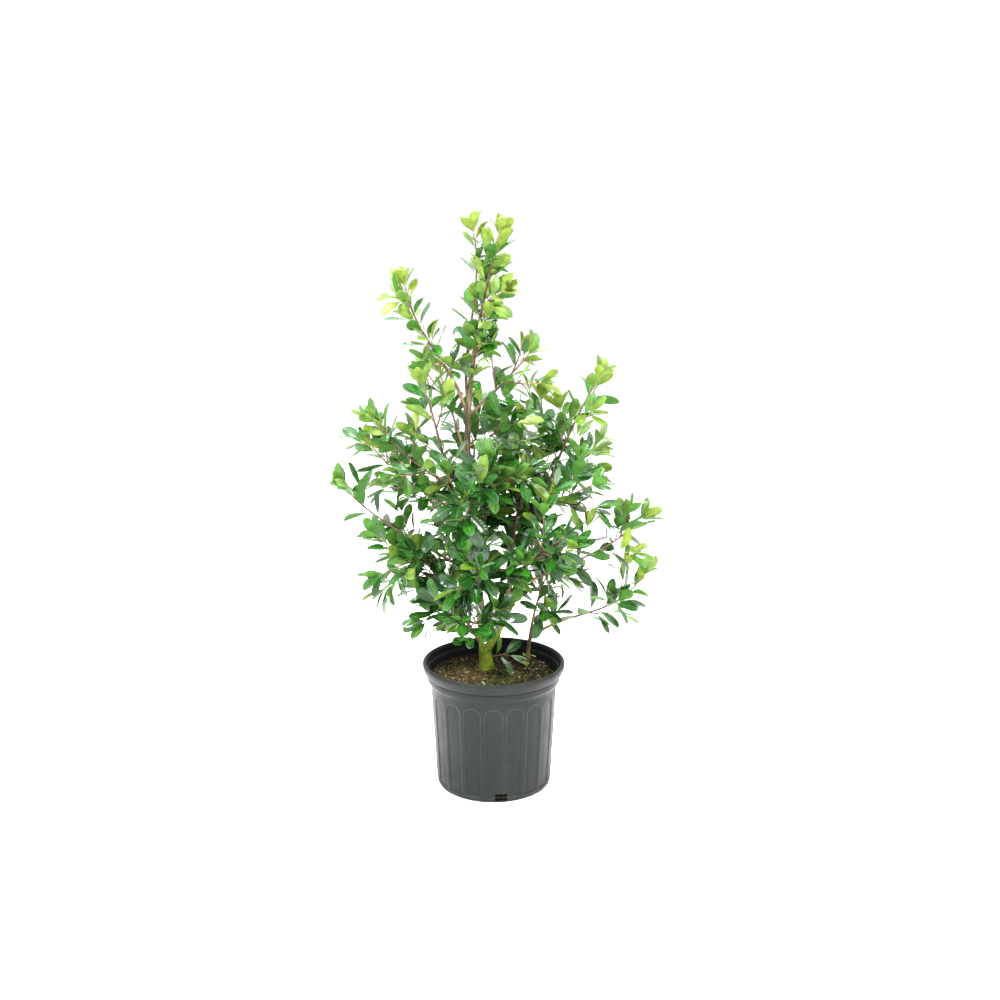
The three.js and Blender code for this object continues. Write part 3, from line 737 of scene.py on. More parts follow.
SHOOTS = [dict(zip(SHOOT_COLUMNS, row)) for row in (
    ("twin_leader", "trunk", 0.89, 195, 80, -2, 20, 334, 0.2, 3.2, 0),
    ("left_droop", "left_stem", 0.37, 204, 11, -31, 0, 76, 0.35, 2.2, 0),
    ("base_shoot", "trunk", 0.035, 338, 42, -40, 0, 52, 0.5, 2.4, 0),
    ("low_sprout", "right_stem", 0.09, 262, 20, -60, 0, 40, 0.6, 1.8, 0),
    ("front_low", "trunk", 0.17, 255, 18, 0, 0, 165, 0.3, 3.2, 4),
    ("front_mid", "trunk", 0.3, 272, 26, 0, 0, 195, 0.3, 3.4, 4),
    ("front_high", "trunk", 0.49, 268, 34, 0, 0, 175, 0.3, 3.4, 4),
    ("front_right", "right_fork", 0.456, 314, 38, 0, 0, 182, 0.3, 3.2, 4),
)]
print(len(BOUGHS), "boughs and", len(SHOOTS), "shoots")


# %% The limbs, and the stem of each leafy mass
def trunk_radius(s):
    """A taper from the foot to the fork, with a flare that dies away up the stem."""
    return 4.8 + 5.2 * (1 - s) + 5 * np.exp(-9 * s) + 5 * np.exp(-42 * s)


def taper(foot, tip):
    """A radius that changes evenly from the foot to the tip."""
    return lambda s: foot + (tip - foot) * np.asarray(s, float)


def line_of(row):
    """The whole centre line of a row of the table, from its place on the soil or on its parent."""
    if row["on"] == "soil":
        foot = np.array([*row["at"], SOIL_TOP - 2])
    else:
        foot = along(limbs[row["on"]]["whole"], row["at"])[0]
    return bent_line(foot, *(row[key] for key in ("azimuth", "rise", "length", "lift", "bow")))


trunk_line, trunk_length = main_line(0, FORK), HEIGHT * FORK
limbs = {"trunk": dict(name="trunk", whole=trunk_line, length=trunk_length, bare=1.0,
                       radius_at=trunk_radius,
                       solid=part_of(trunk_line, trunk_length, 0, 1, 46))}
masses = [dict(name="leader", whole=main_line(FORK, 1), length=HEIGHT * (1 - FORK), low=0.0,
               radius=4.8, twigs=3, first=0.05)]
for row in BOUGHS:
    whole, bare = line_of(row), row["bare"]
    end = float(taper(row["radius"], TWIG_TIP)(bare))
    limbs[row["name"]] = dict(row, whole=whole, radius_at=taper(row["radius"], end),
                              solid=part_of(whole, row["length"], 0, bare))
    masses.append(dict(row, whole=whole, low=bare, radius=end, first=0.05))
for row in SHOOTS:
    masses.append(dict(row, whole=line_of(row), low=0.0))
for mass in masses:
    mass["stems"] = [dict(solid=part_of(mass["whole"], mass["length"], mass["low"], 1),
                          length=(1 - mass["low"]) * mass["length"], first=mass["first"],
                          radius_at=taper(mass["radius"], TWIG_TIP), order=0)]
print(len(limbs), "limbs and", len(masses), "leafy masses")

# %% [markdown]
# Side twigs leave each stem at 137.5 degrees from one to the next, the angle that keeps leaves out
# of each other's shade. A twig that would come within 4 mm of a limb or of another mass's twig is
# left out. The CAD stops there.

# %% Side twigs
GOLDEN = 137.5
LAST_TWIG, LONGEST_TWIG = 0.84, 105  # a share of the stem, and millimetres
ROOM, POT_ROOM = 4, 6  # millimetres that a twig keeps from other stems, and above the pot
BATCH = 4000  # points that are measured at a time, so that the arrays stay small


def gap_to(points, stems):
    """For each point, the least distance to the surface of any of the stems: the point is dropped
    onto each straight stretch, and the radius at the stretch's start is taken off."""
    a = np.concatenate([stem["solid"][:-1] for stem in stems])
    b = np.concatenate([stem["solid"][1:] for stem in stems])
    radius = np.concatenate([stem["radius_at"](np.linspace(0, 1, len(stem["solid"]))[:-1])
                             for stem in stems])
    least = np.full(len(points), np.inf)
    for i in range(0, len(points), BATCH):
        p = points[i:i + BATCH, None]
        t = np.clip(((p - a) * (b - a)).sum(-1) / ((b - a) ** 2).sum(-1), 0, 1)
        dropped = a + t[..., None] * (b - a)
        least[i:i + BATCH] = (np.linalg.norm(p - dropped, axis=-1) - radius).min(1)
    return least


def has_room(stem, mass, own=None):
    """Whether a twig keeps its ROOM from all limbs but its own and from other masses' stems, and
    stays above the pot."""
    others = [limb for limb in limbs.values() if limb is not own]
    others += [s for m in masses if m is not mass for s in m["stems"] if s["order"] < 2]
    points = along(stem["solid"], np.array([0.2, 0.35, 0.5, 0.65, 0.8, 1]))[0]
    return (points[:, 2] > POT_TOP + POT_ROOM).all() and (gap_to(points, others) > ROOM).all()


def straight(point, heading, length, **more):
    """A straight twig from a point, with what else is known of it."""
    return dict(solid=np.vstack([point, point + length * heading]), length=length, **more)


def side_twig(mass, number, t):
    """The rule of the CAD for twig `t` of mass `number`."""
    main, place = mass["stems"][0], (t + 0.6 * chance(number, t, 1)) / mass["twigs"]
    s = main["first"] + (LAST_TWIG - main["first"]) * place
    point, direction = along(main["solid"], s)
    out = branch_off(direction, GOLDEN * t + 360 * chance(number), 38 + 20 * chance(number, t, 2))
    length = min(LONGEST_TWIG, (1 - s) * main["length"] + 50)
    length = (0.5 + 0.35 * chance(number, t, 3)) * length
    return straight(point, unit(out + 0.12 * UP), length, first=0.3, order=1,
                    radius_at=taper(TWIG_TIP, TWIG_TIP))


for number, mass in enumerate(masses):
    for t in range(mass["twigs"]):
        twig = side_twig(mass, number, t)
        if has_room(twig, mass):
            mass["stems"].append(twig)
twig_count = sum(len(mass["stems"]) for mass in masses) - len(masses)
print(twig_count, "side twigs")

# %% [markdown]
# Here a third order follows: short spurs on the stems, the twigs and the outer part of the boughs,
# which carry the extra leaves that make the real crown full. They stand further apart toward the
# crown's rim and its top, where the photograph shows gaps. A table gives each mass a share that
# the steps between its leaves and between its spurs are multiplied by: above 1 it's more open.

# %% Spurs
OPEN = {
    "leader": 0.6, "twin_leader": 0.75, "upper_left": 0.55, "mid_left": 1.3, "far_left": 0.9,
    "outer_left": 1.3, "back_high": 1.4, "back_left": 1.2, "low_left": 0.8, "right_far": 1.2,
    "right_mid": 1.3, "back_stem": 1.15, "lowest_right": 0.7, "front_right": 0.9,
}
LEAF_LENGTH = 62.0
OWN_LENGTH = {"base_shoot": 72, "low_sprout": 30}  # two small shoots without spurs


def spur(parent, key, s, turn):
    """A short spur on a stem: 20 to 38 mm long, and leaning out by 45 to 65 degrees."""
    point, direction = along(parent["solid"], s)
    out = branch_off(direction, turn, 45 + 20 * chance(key, 4, 2))
    return straight(point, unit(out + 0.15 * UP), 20 + 18 * chance(key, 5, 3), first=0.45,
                    order=2, radius_at=taper(1.3, 1.0))


def spur_parents(mass):
    """What carries the spurs of a mass, between which shares, and the limb that it may touch."""
    name, limb = mass["name"], limbs.get(mass["name"])
    stems = [] if name in OWN_LENGTH else mass["stems"]
    parents = [(stem, stem["first"], 0.8, None) for stem in stems]
    if limb and name != "right_stem":
        parents.append((limb, 0.36 if name in ("right_fork", "back_stem") else 0.5, 0.97, limb))
    if name == "leader":
        trunk = limbs["trunk"]
        parents += [(trunk, 0.28, 0.62, trunk), (trunk, 0.82, 0.99, trunk),
                    (mass["stems"][0], 0.02, 0.5, None)]
    return parents


def add_spurs(mass, number):
    """Spurs along each parent, one for every 28 mm inside the crown and fewer toward its rim."""
    name = mass["name"]
    for k, (parent, low, high, own) in enumerate(spur_parents(mass)):
        middle = parent["solid"].mean(0)
        length = (high - low) * (parent["bare"] if own else 1) * parent["length"]
        outer = smoothstep(np.hypot(*middle[:2]), 90, 230)
        outer += (0.4 if name in ("leader", "upper_left") else 1) * smoothstep(middle[2], 650, 820)
        spurs = int(length / (28 + 60 * outer) / OPEN.get(name, 1))
        for j in range(spurs):
            key = 100 + 40 * number + 7 * k + j
            short = spur(parent, key, low + (high - low) * (j + chance(key)) / spurs,
                         (360 - GOLDEN) * j + 360 * chance(key, 3))
            if has_room(short, mass, own):
                mass["stems"].append(short)


for number, mass in enumerate(masses):
    add_spurs(mass, number)
print(sum(len(mass["stems"]) for mass in masses) - len(masses) - twig_count, "spurs")

# %% [markdown]
# ## Bark
# The main stem is smooth olive-green at its foot and turns grey-brown higher up. Young boughs are
# warm brown, with a swelling where each leaf once stood. A curve with a bevel would make them all
# perfect pipes. So a limb is a ring of points carried along its centre line, and the radius is a
# function of the place along the line and the angle round it: the taper, shallow lengthwise
# ridges, the leaf scars, and the collar where the limb leaves its parent.

# %% A limb's surface
def carried_ring(line, radius, sides):
    """Rings round a line: centre + radius * (cos(angle) * side + sin(angle) * across). The side is
    the axis that the line runs along least, made square to the line at each point."""
    direction = unit(np.gradient(line, axis=0))
    axis = np.eye(3)[np.argmin(np.abs(direction).max(0))]
    side = unit(axis - (direction @ axis)[:, None] * direction)
    across = np.cross(direction, side)
    angle = np.arange(sides) * 2 * np.pi / sides
    ring = np.cos(angle)[:, None] * side[:, None] + np.sin(angle)[:, None] * across[:, None]
    return line[:, None] + np.broadcast_to(radius, ring.shape[:2])[..., None] * ring


def closed_tube(rings):
    """The points and faces of rings whose two ends are closed with a centre point."""
    rows, sides = rings.shape[:2]
    points = np.vstack([rings.reshape(-1, 3), rings[0].mean(0), rings[-1].mean(0)])
    count = rows * sides
    caps = [cap_faces(count, 0, sides, False),
            cap_faces(count + 1, count - sides, sides, True)]
    return points, sheet_faces(rows, sides), np.vstack(caps)


def bark_radius(radius, far, sides, seed, scars, ridge):
    """The radius for each place and angle: the taper, times noise ridges that run lengthwise, plus
    a low ring with one knob at every leaf scar, `scars` millimetres apart."""
    angle = np.arange(sides) * 2 * np.pi / sides
    spot = np.stack(np.broadcast_arrays(6 * np.cos(angle), 6 * np.sin(angle), 0.1 * far[:, None]),
                    -1)
    ridges = ridge * lumps(spot, 2.6, seed) + 0.6 * ridge * lumps(spot * [1, 1, 6], 2.0, seed + 5)
    number = np.floor(far / scars)
    near = np.exp(-(((far - (number + 0.5) * scars) / 1.9) ** 2))[:, None]
    round_to_knob = np.mod(angle - np.radians(GOLDEN) * number[:, None], 2 * np.pi) - np.pi
    knob = np.exp(-((round_to_knob / 0.5) ** 2))
    return radius[:, None] * (1 + ridges) + near * (0.16 + 0.5 * knob)


print("rings of the trunk's line:", carried_ring(trunk_line, 10.0, 4).shape)

# %% [markdown]
# The trunk and its thick right arm grow together in a wide crotch. Two pipes that cross would show
# a hard crease there. So each ring of the trunk is drawn out to the arm's far side where the two
# are close, and a smooth maximum of the two reaches takes the crease away.

# %% The crotch
def webbed(rings, line, arm, soft=5.0):
    """The trunk's rings drawn out over the foot of an arm. The reach of a ray from the trunk's axis
    to the arm's far side is ahead + sqrt(radius^2 - miss^2), and the ring takes the smooth maximum
    of that and its own radius, up to the crotch."""
    out = rings - line[:, None]
    own = np.linalg.norm(out, axis=-1)
    ray = out / own[..., None]
    path = along(arm["whole"], np.linspace(0, 0.3, 60))[0]
    axis = np.stack([np.interp(line[:, 2], path[:, 2], path[:, k]) for k in range(3)], -1)
    gap = (axis - line) * [1, 1, 0]
    thick = arm["radius"] * 1.12
    ahead = (gap[:, None] * ray).sum(-1)
    miss = np.sqrt(np.maximum((gap**2).sum(-1)[:, None] - ahead**2, 0))
    reach = ahead + np.sqrt(np.maximum(thick**2 - miss**2, 0)) - 2.5 * np.maximum(miss - thick, 0)
    near = np.clip(0.5 + 0.5 * (reach - own) / soft, 0, 1)
    drawn = own + (reach - own) * near + soft * near * (1 - near)
    apart = np.linalg.norm(gap, axis=-1) - own.mean(1)
    low = smoothstep(line[:, 2], path[0, 2] - 26, path[0, 2] + 6)
    low = low * (1 - smoothstep(apart, 0.5, 1.1 * thick))
    return line[:, None] + ray * (own + low[:, None] * (drawn - own))[..., None]


# %% Bark finishes
def bark_finish(name, dark, light, fleck, moss_dark, moss_light, depth):
    """Thin smooth bark: two tones in streaks along the limb, pale pores, and olive where the piece
    carries moss."""
    finish = Finish(name, 0.62, specular=0.35)
    streaks = finish.noise(240, detail=5, stretch=(1, 1, 0.16), attribute="grain")
    tone = finish.ramp(streaks, (0.36, dark), (0.66, light))
    pores = finish.noise(620, detail=2, attribute="grain")
    tone = finish.blend(finish.span(pores, 0, 0.7, 0.6, 0.7), tone, fleck)
    green = finish.ramp(streaks, (0.34, moss_dark), (0.62, moss_light))
    finish.lead(finish.blend(finish.own("moss"), tone, green), "Base Color")
    finish.relief(streaks, depth)
    finish.relief(finish.noise(900, detail=3, attribute="grain"), 0.18)
    return finish.material


stem_bark = bark_finish("bark_of_the_main_stem", srgb(80, 68, 50), srgb(134, 118, 90),
                        srgb(168, 158, 130), srgb(92, 112, 24), srgb(130, 148, 42), 0.2)
bough_bark = bark_finish("bark_of_the_boughs", srgb(92, 70, 50), srgb(156, 124, 92),
                         srgb(182, 156, 126), srgb(108, 110, 38), srgb(144, 144, 60), 0.4)
print("bark finishes:", stem_bark.name, "and", bough_bark.name)


# %% The trunk and the boughs
def make_limb(limb, number):
    """One limb from its foot, which starts inside the parent, to where its leafy stem takes over.
    Rings stand 1.6 mm apart on the trunk and 2.2 mm on the rest. The two with a foot in the soil
    have root lobes there. The bark's noise runs on the points of a straight tube of the same length
    and girth, so that its streaks follow the limb."""
    is_trunk = limb["name"] == "trunk"
    is_stem = limb["name"] in ("trunk", "right_fork", "back_stem")
    length = limb["bare"] * limb["length"]
    rows, sides = (int(length / 1.6), 48) if is_trunk else (max(16, int(length / 2.2)), 20)
    share = np.linspace(0, 1, rows)
    line = along(limb["whole"], limb["bare"] * share)[0]
    far = share * length
    thick = limb["radius_at"](share) * (1 - 0.14 * np.exp(-far / 16) if is_trunk else 0.94)
    if not is_trunk:  # the collar, where the limb leaves its parent
        thick = thick * (1 + 0.55 * np.exp(-far / (1.6 * thick[0])))
    radius = bark_radius(thick, far, sides, number, *((30, 0.035) if is_trunk else (22, 0.06)))
    angle = np.arange(sides) * 2 * np.pi / sides
    if is_trunk or limb["on"] == "soil":
        lobes = 0.1 * np.cos(3 * angle + 0.6) + 0.06 * np.cos(5 * angle)
        radius = radius * (1 + np.exp(-far / 12)[:, None] * lobes)
        line[0, 2] -= 6
    rings = carried_ring(line, radius, sides)
    if is_trunk:
        rings = webbed(rings, line, limbs["right_fork"])
    points, quads, caps = closed_tube(rings)
    grain = turned(thick[:, None], angle, np.repeat(far[:, None], sides, 1))
    grain = np.vstack([grain.reshape(-1, 3), [0, 0, 0], [0, 0, length]]) / PER_METRE
    patchy = points[:, 2] + 34 * lumps(points, 40, 3)
    moss = (1 - smoothstep(patchy, 300, 420 if is_trunk else 350)) * (1 if is_stem else 0.2)
    make_piece(limb["name"] + "_bark", points, [quads, caps],
               [stem_bark if is_stem else bough_bark], "bark", [limb["name"]],
               vectors={"grain": grain, "moss": moss})


for number, limb in enumerate(limbs.values()):
    make_limb(limb, number)

# %% [markdown]
# ## Twigs
# The leafy stems are two to ten millimetres thick. They go from dull brown through orange-brown to
# green at the youngest end, and finish in a small pointed bud. A colour ramp along each twig would
# need a value at every point. Cutting each twig where its colour changes is simpler, and all parts
# of one colour are joined into one piece.

# %% Twig colours
TWIG_COLOURS = {"brown": ((76, 54, 44), (120, 90, 70)), "orange": ((100, 76, 52), (148, 118, 82)),
                "green": ((132, 132, 52), (172, 166, 84))}
# Where each colour begins and ends, as shares of a main stem, a side twig and a spur.
COLOUR_CUTS = ((0, 0.84, 0.97, 1), (0, 0.5, 0.9, 1), (0, 0, 0.8, 1))


def twig_finish(name, dark, light):
    """Young bark: a fine streaky mix of two near tones with a soft gloss."""
    finish = Finish(name, 0.5, specular=0.4)
    streaks = finish.noise(380, detail=3)
    finish.lead(finish.ramp(streaks, (0.35, srgb(*dark)), (0.65, srgb(*light))), "Base Color")
    finish.relief(streaks, 0.15)
    return finish.material


# %% Twigs, joined by colour
def twig_rings(stem, mass, sides=7):
    """A stem's rings, about 3.4 mm apart: its taper, a low swelling at each leaf, and the bud at
    its end, where the radius swells once more and then closes. Twigs and spurs sag a little."""
    order, length = stem["order"], stem["length"]
    share = np.linspace(0, 1, max(8, int(length / 3.4)))
    foot = float(stem["radius_at"](0.0))
    if order == 0:
        line = along(mass["whole"], mass["low"] + (1 - mass["low"]) * share)[0]
        foot, tip = 0.94 * foot, 1.15
    else:
        line = along(stem["solid"], share)[0]
        sag = 0.05 * length * np.sin(np.pi * share) * (1 if order == 1 else 0.5)
        line = line - sag[:, None] * UP
        foot, tip = min(foot, 1.6), 1.05
    far = share * length
    radius = foot + (tip - foot) * share**0.8
    radius = radius * (1 + 0.14 * np.exp(-(((np.mod(far, 15) - 7.5) / 1.6) ** 2)))
    left = length - far
    bud = 1.25 * np.sqrt(np.clip(left / 5, 0.01, 1)) + 0.05
    radius = radius * np.where(left < 5, bud, 1)
    return carried_ring(line, radius[:, None], sides)


def make_twigs():
    """Every leafy stem, cut where its colour changes, as one joined piece for each colour."""
    heap = {colour: [] for colour in TWIG_COLOURS}
    for mass in masses:
        for stem in mass["stems"]:
            rings = twig_rings(stem, mass)
            cuts = [int(round(cut * (len(rings) - 1))) for cut in COLOUR_CUTS[stem["order"]]]
            for colour, a, b in zip(heap, cuts[:-1], cuts[1:]):
                if b > a:
                    heap[colour].append(closed_tube(rings[a:b + 1]))
    for colour, tubes in heap.items():
        points, quads, caps = zip(*tubes)
        first = np.cumsum([0] + [len(p) for p in points[:-1]])
        nodes = [mass["name"] + "_leaves" for mass in masses] if colour == "brown" else []
        make_piece("twigs_" + colour, np.vstack(points),
                   [np.vstack([faces + n for faces, n in zip(kind, first)])
                    for kind in (quads, caps)],
                   [twig_finish("twig_" + colour, *TWIG_COLOURS[colour])], "bark", nodes)


make_twigs()

# %% [markdown]
# ## Leaves
# A holly leaf of this kind is a long oval on a short stalk, 35 to 70 mm long and a third to half
# as wide. It is stiff and glossy, with a pale midrib in a groove, hardly any spines, and a paler
# matte back. Its two halves are a little folded and its tip bends down. A picture of a leaf on a
# flat card would have no edge and no curl. So one leaf is a closed sheet of 63 faces, and all
# leaves are computed at once: the shared outline times each leaf's own length, width, fold, curl
# and twist.

# %% The shape that all leaves share
ROWS = np.array([0.05, 0.11, 0.2, 0.34, 0.52, 0.7, 0.86, 0.955])
ACROSS = np.array([-1, -0.52, -0.05, 0.05, 0.52, 1])
COLUMNS = len(ACROSS) + 1  # six on the face, and one along the middle of the back
GRID = len(ROWS) * COLUMNS
FOOT_POINT, TIP_POINT, LEAF_POINTS = GRID, GRID + 1, GRID + 2
LEAF_X = np.concatenate([np.repeat(ROWS, COLUMNS), [0, 1]])
LEAF_Y = np.concatenate([np.tile(np.append(ACROSS, 0), len(ROWS)), [0, 0]])
IS_BACK = np.concatenate([np.tile([False] * len(ACROSS) + [True], len(ROWS)), [False, False]])
FACE, RIB, BACK = 0, 1, 2  # the numbers of a leaf's three materials


def half_width(x):
    """The outline: a stalk up to 0.11, then a sine of the share of the blade to the power 1.3,
    itself to the power 0.58, so that it is fullest past the middle and blunt at the tip."""
    blade = np.clip((x - 0.11) / 0.89, 0, 1)
    return np.maximum(0.075, np.abs(np.sin(np.pi * blade**1.3)) ** 0.58)


def leaf_faces():
    """The faces of one leaf and their materials: seven strips of quads between neighbouring
    columns, five on the face and two on the back, each closed with a triangle at the foot and one
    at the tip. The stalk has the rib's material."""
    quads, triangles, quad_tint, triangle_tint = [], [], [], []
    strips = [(c + 1, c, RIB if c == 2 else FACE) for c in range(len(ACROSS) - 1)]
    strips += [(0, 6, BACK), (6, 5, BACK)]
    last = GRID - COLUMNS
    for right, left, tint in strips:
        for a in range(0, last, COLUMNS):
            b = a + COLUMNS
            if tint == BACK:
                quads.append((a + right, a + left, b + left, b + right))
            else:
                quads.append((a + left, b + left, b + right, a + right))
            quad_tint.append(RIB if a == 0 else tint)
        triangles += [(FOOT_POINT, left, right), (TIP_POINT, last + right, last + left)]
        triangle_tint += [RIB, tint]
    return np.array(quads), np.array(triangles), quad_tint, triangle_tint


leaf_quads, leaf_triangles, quad_tint, triangle_tint = leaf_faces()
print("one leaf has", len(leaf_quads) + len(leaf_triangles), "faces")

# %% [markdown]
# The leaves stand on the stems in the CAD's own spiral, only closer, and crowd together at the
# tips. How fresh a leaf is decides its colour: this year's growth is yellow-green, last year's is
# dark. It falls with the distance from the twig's tip, chance spreads it, and a table says how
# much of a mass is this year's. Near the top of the plant, light and dark leaves stand side by
# side.

# %% The leaves along each stem
LEAF_STEP, LEAF_TURN = 16.0, 144  # millimetres and degrees from one leaf to the next
LAST_LEAF = 0.985  # the share of a stem where its last leaves stand
SOFT_GROWTH = 42  # how far this year's growth reaches from a tip, in millimetres
YOUNG = {
    "leader": 1.0, "twin_leader": 1.05, "upper_left": 0.95, "upper_right": 0.62, "mid_right": 0.4,
    "right_upper": 0.72, "right_far": 0.62, "right_mid": 0.3, "mid_left": 0.62, "far_left": 0.62,
    "outer_left": 0.5, "low_left": 0.42, "right_low": 0.45, "lowest_right": 0.5, "back_stem": 0.6,
    "back_high": 0.6, "right_fork": 0.42, "front_arch": 0.42, "low_sprout": 1.25,
    "left_droop": 0.5, "base_shoot": 0.05,
}
FIRST_TURN = {"base_shoot": 195}  # degrees that bring the few leaves of a shoot to its front
# No leaf of a mass hangs below this height. For the others it is the top of the pot.
LOWEST = {"front_low": 340, "right_stem": SOIL_TOP, "low_sprout": SOIL_TOP, "base_shoot": SOIL_TOP}


def leaves_along(stem, mass, number, t):
    """The leaves of stem `t` of a mass: the foot's point and heading, the size, the lean, the roll,
    the turn round the twig, the twig's radius, and how fresh each leaf is."""
    name, order = mass["name"], stem["order"]
    size = OWN_LENGTH.get(name, LEAF_LENGTH)
    low, high = stem["first"], LAST_LEAF
    middle = stem["solid"].mean(0)
    step = LEAF_STEP + 6 * smoothstep(np.hypot(*middle[:2]), 120, 260)
    step = (step + 5 * smoothstep(middle[2], 650, 900)) * OPEN.get(name, 1)
    count = max(3, int((high - low) * stem["length"] / (step * size / LEAF_LENGTH) + 0.5))
    i = np.arange(count + 1 + (1 if name in OWN_LENGTH else (4, 3, 1)[order]))
    near = np.minimum(i / count, 1)
    s = low + (high - low) * near
    if order:
        point, direction = along(stem["solid"], s)
    else:  # a main stem follows its curve, not the straight stretches of its solid
        point, direction = along(mass["whole"], mass["low"] + (1 - mass["low"]) * s)
    soft = np.exp(-(((1 - s) * stem["length"] / SOFT_GROWTH) ** 2)) * (1.0, 0.85, 0.3)[order]
    size = size * (1 - 0.2 * soft - 0.14 * smoothstep(point[:, 2], 650, 1000))
    odd = chance(number, t, 200 + i)
    fresh = YOUNG.get(name, 0.25) * (0.22 + 0.8 * soft) + 0.2 * (odd - 0.5) + 0.4 * (odd > 0.88)
    mixed = smoothstep(point[:, 2], 680, 880) * (1 - soft)
    fresh += mixed * np.where(chance(number, t, 300 + i) < 0.5, -0.3, 0.3)
    return dict(
        point=point, direction=direction, size=size * (0.86 + 0.28 * chance(number, t, 70 + i)),
        lean=56 - 28 * near**4 + 18 * (chance(number, t, 40 + i) - 0.5),
        roll=80 * (chance(number, t, 100 + i) - 0.5),
        turn=LEAF_TURN * i + 360 * chance(number, t, 5) + FIRST_TURN.get(name, 0),
        radius=stem["radius_at"](s), fresh=fresh,
        lowest=np.full(len(i), LOWEST.get(name, POT_TOP)), mass=np.full(len(i), number))


rows = [leaves_along(stem, mass, number, t) for number, mass in enumerate(masses)
        for t, stem in enumerate(mass["stems"])]
leaves = {key: np.concatenate([row[key] for row in rows]) for key in rows[0]}
print(len(leaves["size"]), "places for leaves")

# %% [markdown]
# No leaf may cut a limb, a main stem, the pot or the edge of the CAD's box. So each leaf is tried
# at its own turn round the twig and then at five others. The first that keeps clear is taken, and
# a leaf that finds none is left out.

# %% Leaves that keep clear
TURNS = (0, 40, -40, 85, -85, 130)
LEAF_CHECKS = np.array([0.3, 0.5, 0.72, 0.96])  # shares of a leaf where its gap is measured
LEAF_GAP, LOWEST_GAP = 2.2, 4  # millimetres to the nearest stem, and to the lowest height
BOX_SLACK = 3  # millimetres that a leaf may pass the CAD's box by


def leaf_frames(leaves, more):
    """Foot, heading and face of each leaf with its turn changed by `more` degrees: the heading
    leans out from the twig and rises a little, and the face turns to the light."""
    direction, turn = leaves["direction"], leaves["turn"] + more
    out = branch_off(direction, turn, np.full(len(turn), 90.0))
    foot = leaves["point"] + out * np.maximum(0, 0.6 * leaves["radius"] - 0.3)[:, None]
    ahead = branch_off(direction, turn, leaves["lean"])
    ahead[:, 2] += 0.12 * np.sin(np.radians(leaves["lean"])) ** 2
    ahead = unit(ahead)
    away = unit(foot * [1, 1, 0] + [0, 1e-6, 0])
    face = 0.6 * direction + 0.45 * away + UP
    face = unit(face - (face * ahead).sum(-1, keepdims=True) * ahead)
    angle = np.radians(leaves["roll"])[:, None]
    return foot, ahead, face * np.cos(angle) + np.cross(ahead, face) * np.sin(angle)


def keep_clear(foot, ahead, leaves, stems):
    """Whether each leaf keeps its gap to the stems and to its lowest height, and stays in the box.
    It's measured at a few spots along the leaf, which sink with the square of their share."""
    size, (low, high) = leaves["size"][:, None], np.array(cad_box) * PER_METRE
    spots = foot[:, None] + LEAF_CHECKS[:, None] * (ahead * size)[:, None]
    spots[:, :, 2] -= 0.1 * (LEAF_CHECKS**2) * size
    clear = (gap_to(spots.reshape(-1, 3), stems).reshape(len(foot), -1) > LEAF_GAP).all(1)
    clear &= (spots[..., 2] > leaves["lowest"][:, None] + LOWEST_GAP).all(1)
    return clear & ((spots > low - BOX_SLACK) & (spots < high + BOX_SLACK)).all((1, 2))


undecided = np.ones(len(leaves["size"]), bool)
frames = [np.zeros((len(undecided), 3)) for _ in range(3)]
thick_stems = [*limbs.values(), *(mass["stems"][0] for mass in masses)]
for more in TURNS:
    tried = leaf_frames(leaves, more)
    taken = undecided & keep_clear(tried[0], tried[1], leaves, thick_stems)
    for chosen, new in zip(frames, tried):
        chosen[taken] = new[taken]
    undecided &= ~taken
leaves.update(zip(("foot", "ahead", "face"), frames))
leaves = {key: values[~undecided] for key, values in leaves.items()}
print(len(leaves["size"]), "leaves stand clear,", int(undecided.sum()), "are left out")


# %% All leaves as one array
def leaf_surface(foot, ahead, face, size, fresh, key):
    """The points of every leaf. Along the leaf x runs from 0 to 1 and across it y from -1 to 1.
    The height is the fold times |y|, less the camber times y squared, less the curl times x
    squared, with the midrib in a groove, and the section turns by the twist times x."""
    x, y = LEAF_X, LEAF_Y
    w = np.where(x < 1, half_width(x), 0)
    w[np.isin(x, ROWS[[4, 6]])] *= 1.04
    blade = smoothstep(x, 0.1, 0.3)
    size, fresh = size[:, None], fresh[:, None]
    part = [chance(key, n)[:, None] for n in range(6)]
    half = size * (0.168 + 0.05 * part[0] + 0.04 * smoothstep(fresh, 0.5, 0.9))
    fold = 0.14 + 0.34 * part[1] + 0.12 * (fresh > 0.56)
    camber = 0.04 + 0.2 * part[2]
    curl = 0.02 + 0.2 * part[3] ** 1.5
    twist = np.radians(46 * (part[4] - 0.5)) * x
    out = half * w * y
    lift = half * w * (fold * np.abs(y) - camber * y**2)
    lift += size * 0.012 * np.sin(9 * x + 6 * part[5]) * np.abs(y) * blade
    lift += np.where(IS_BACK, -0.62, 0.28 * (np.abs(y) < 0.9)) * (0.5 + 0.5 * blade)
    lift -= np.where((np.abs(y) < 0.1) & ~IS_BACK, 0.34, 0) * blade
    out, up = (out * np.cos(twist) - lift * np.sin(twist),
               out * np.sin(twist) + lift * np.cos(twist))
    up = up - size * curl * x**2
    forward = size * x * (1 - 0.35 * curl * x)
    side = np.cross(face, ahead)
    return (foot[:, None] + forward[..., None] * ahead[:, None] + out[..., None] * side[:, None]
            + up[..., None] * face[:, None])


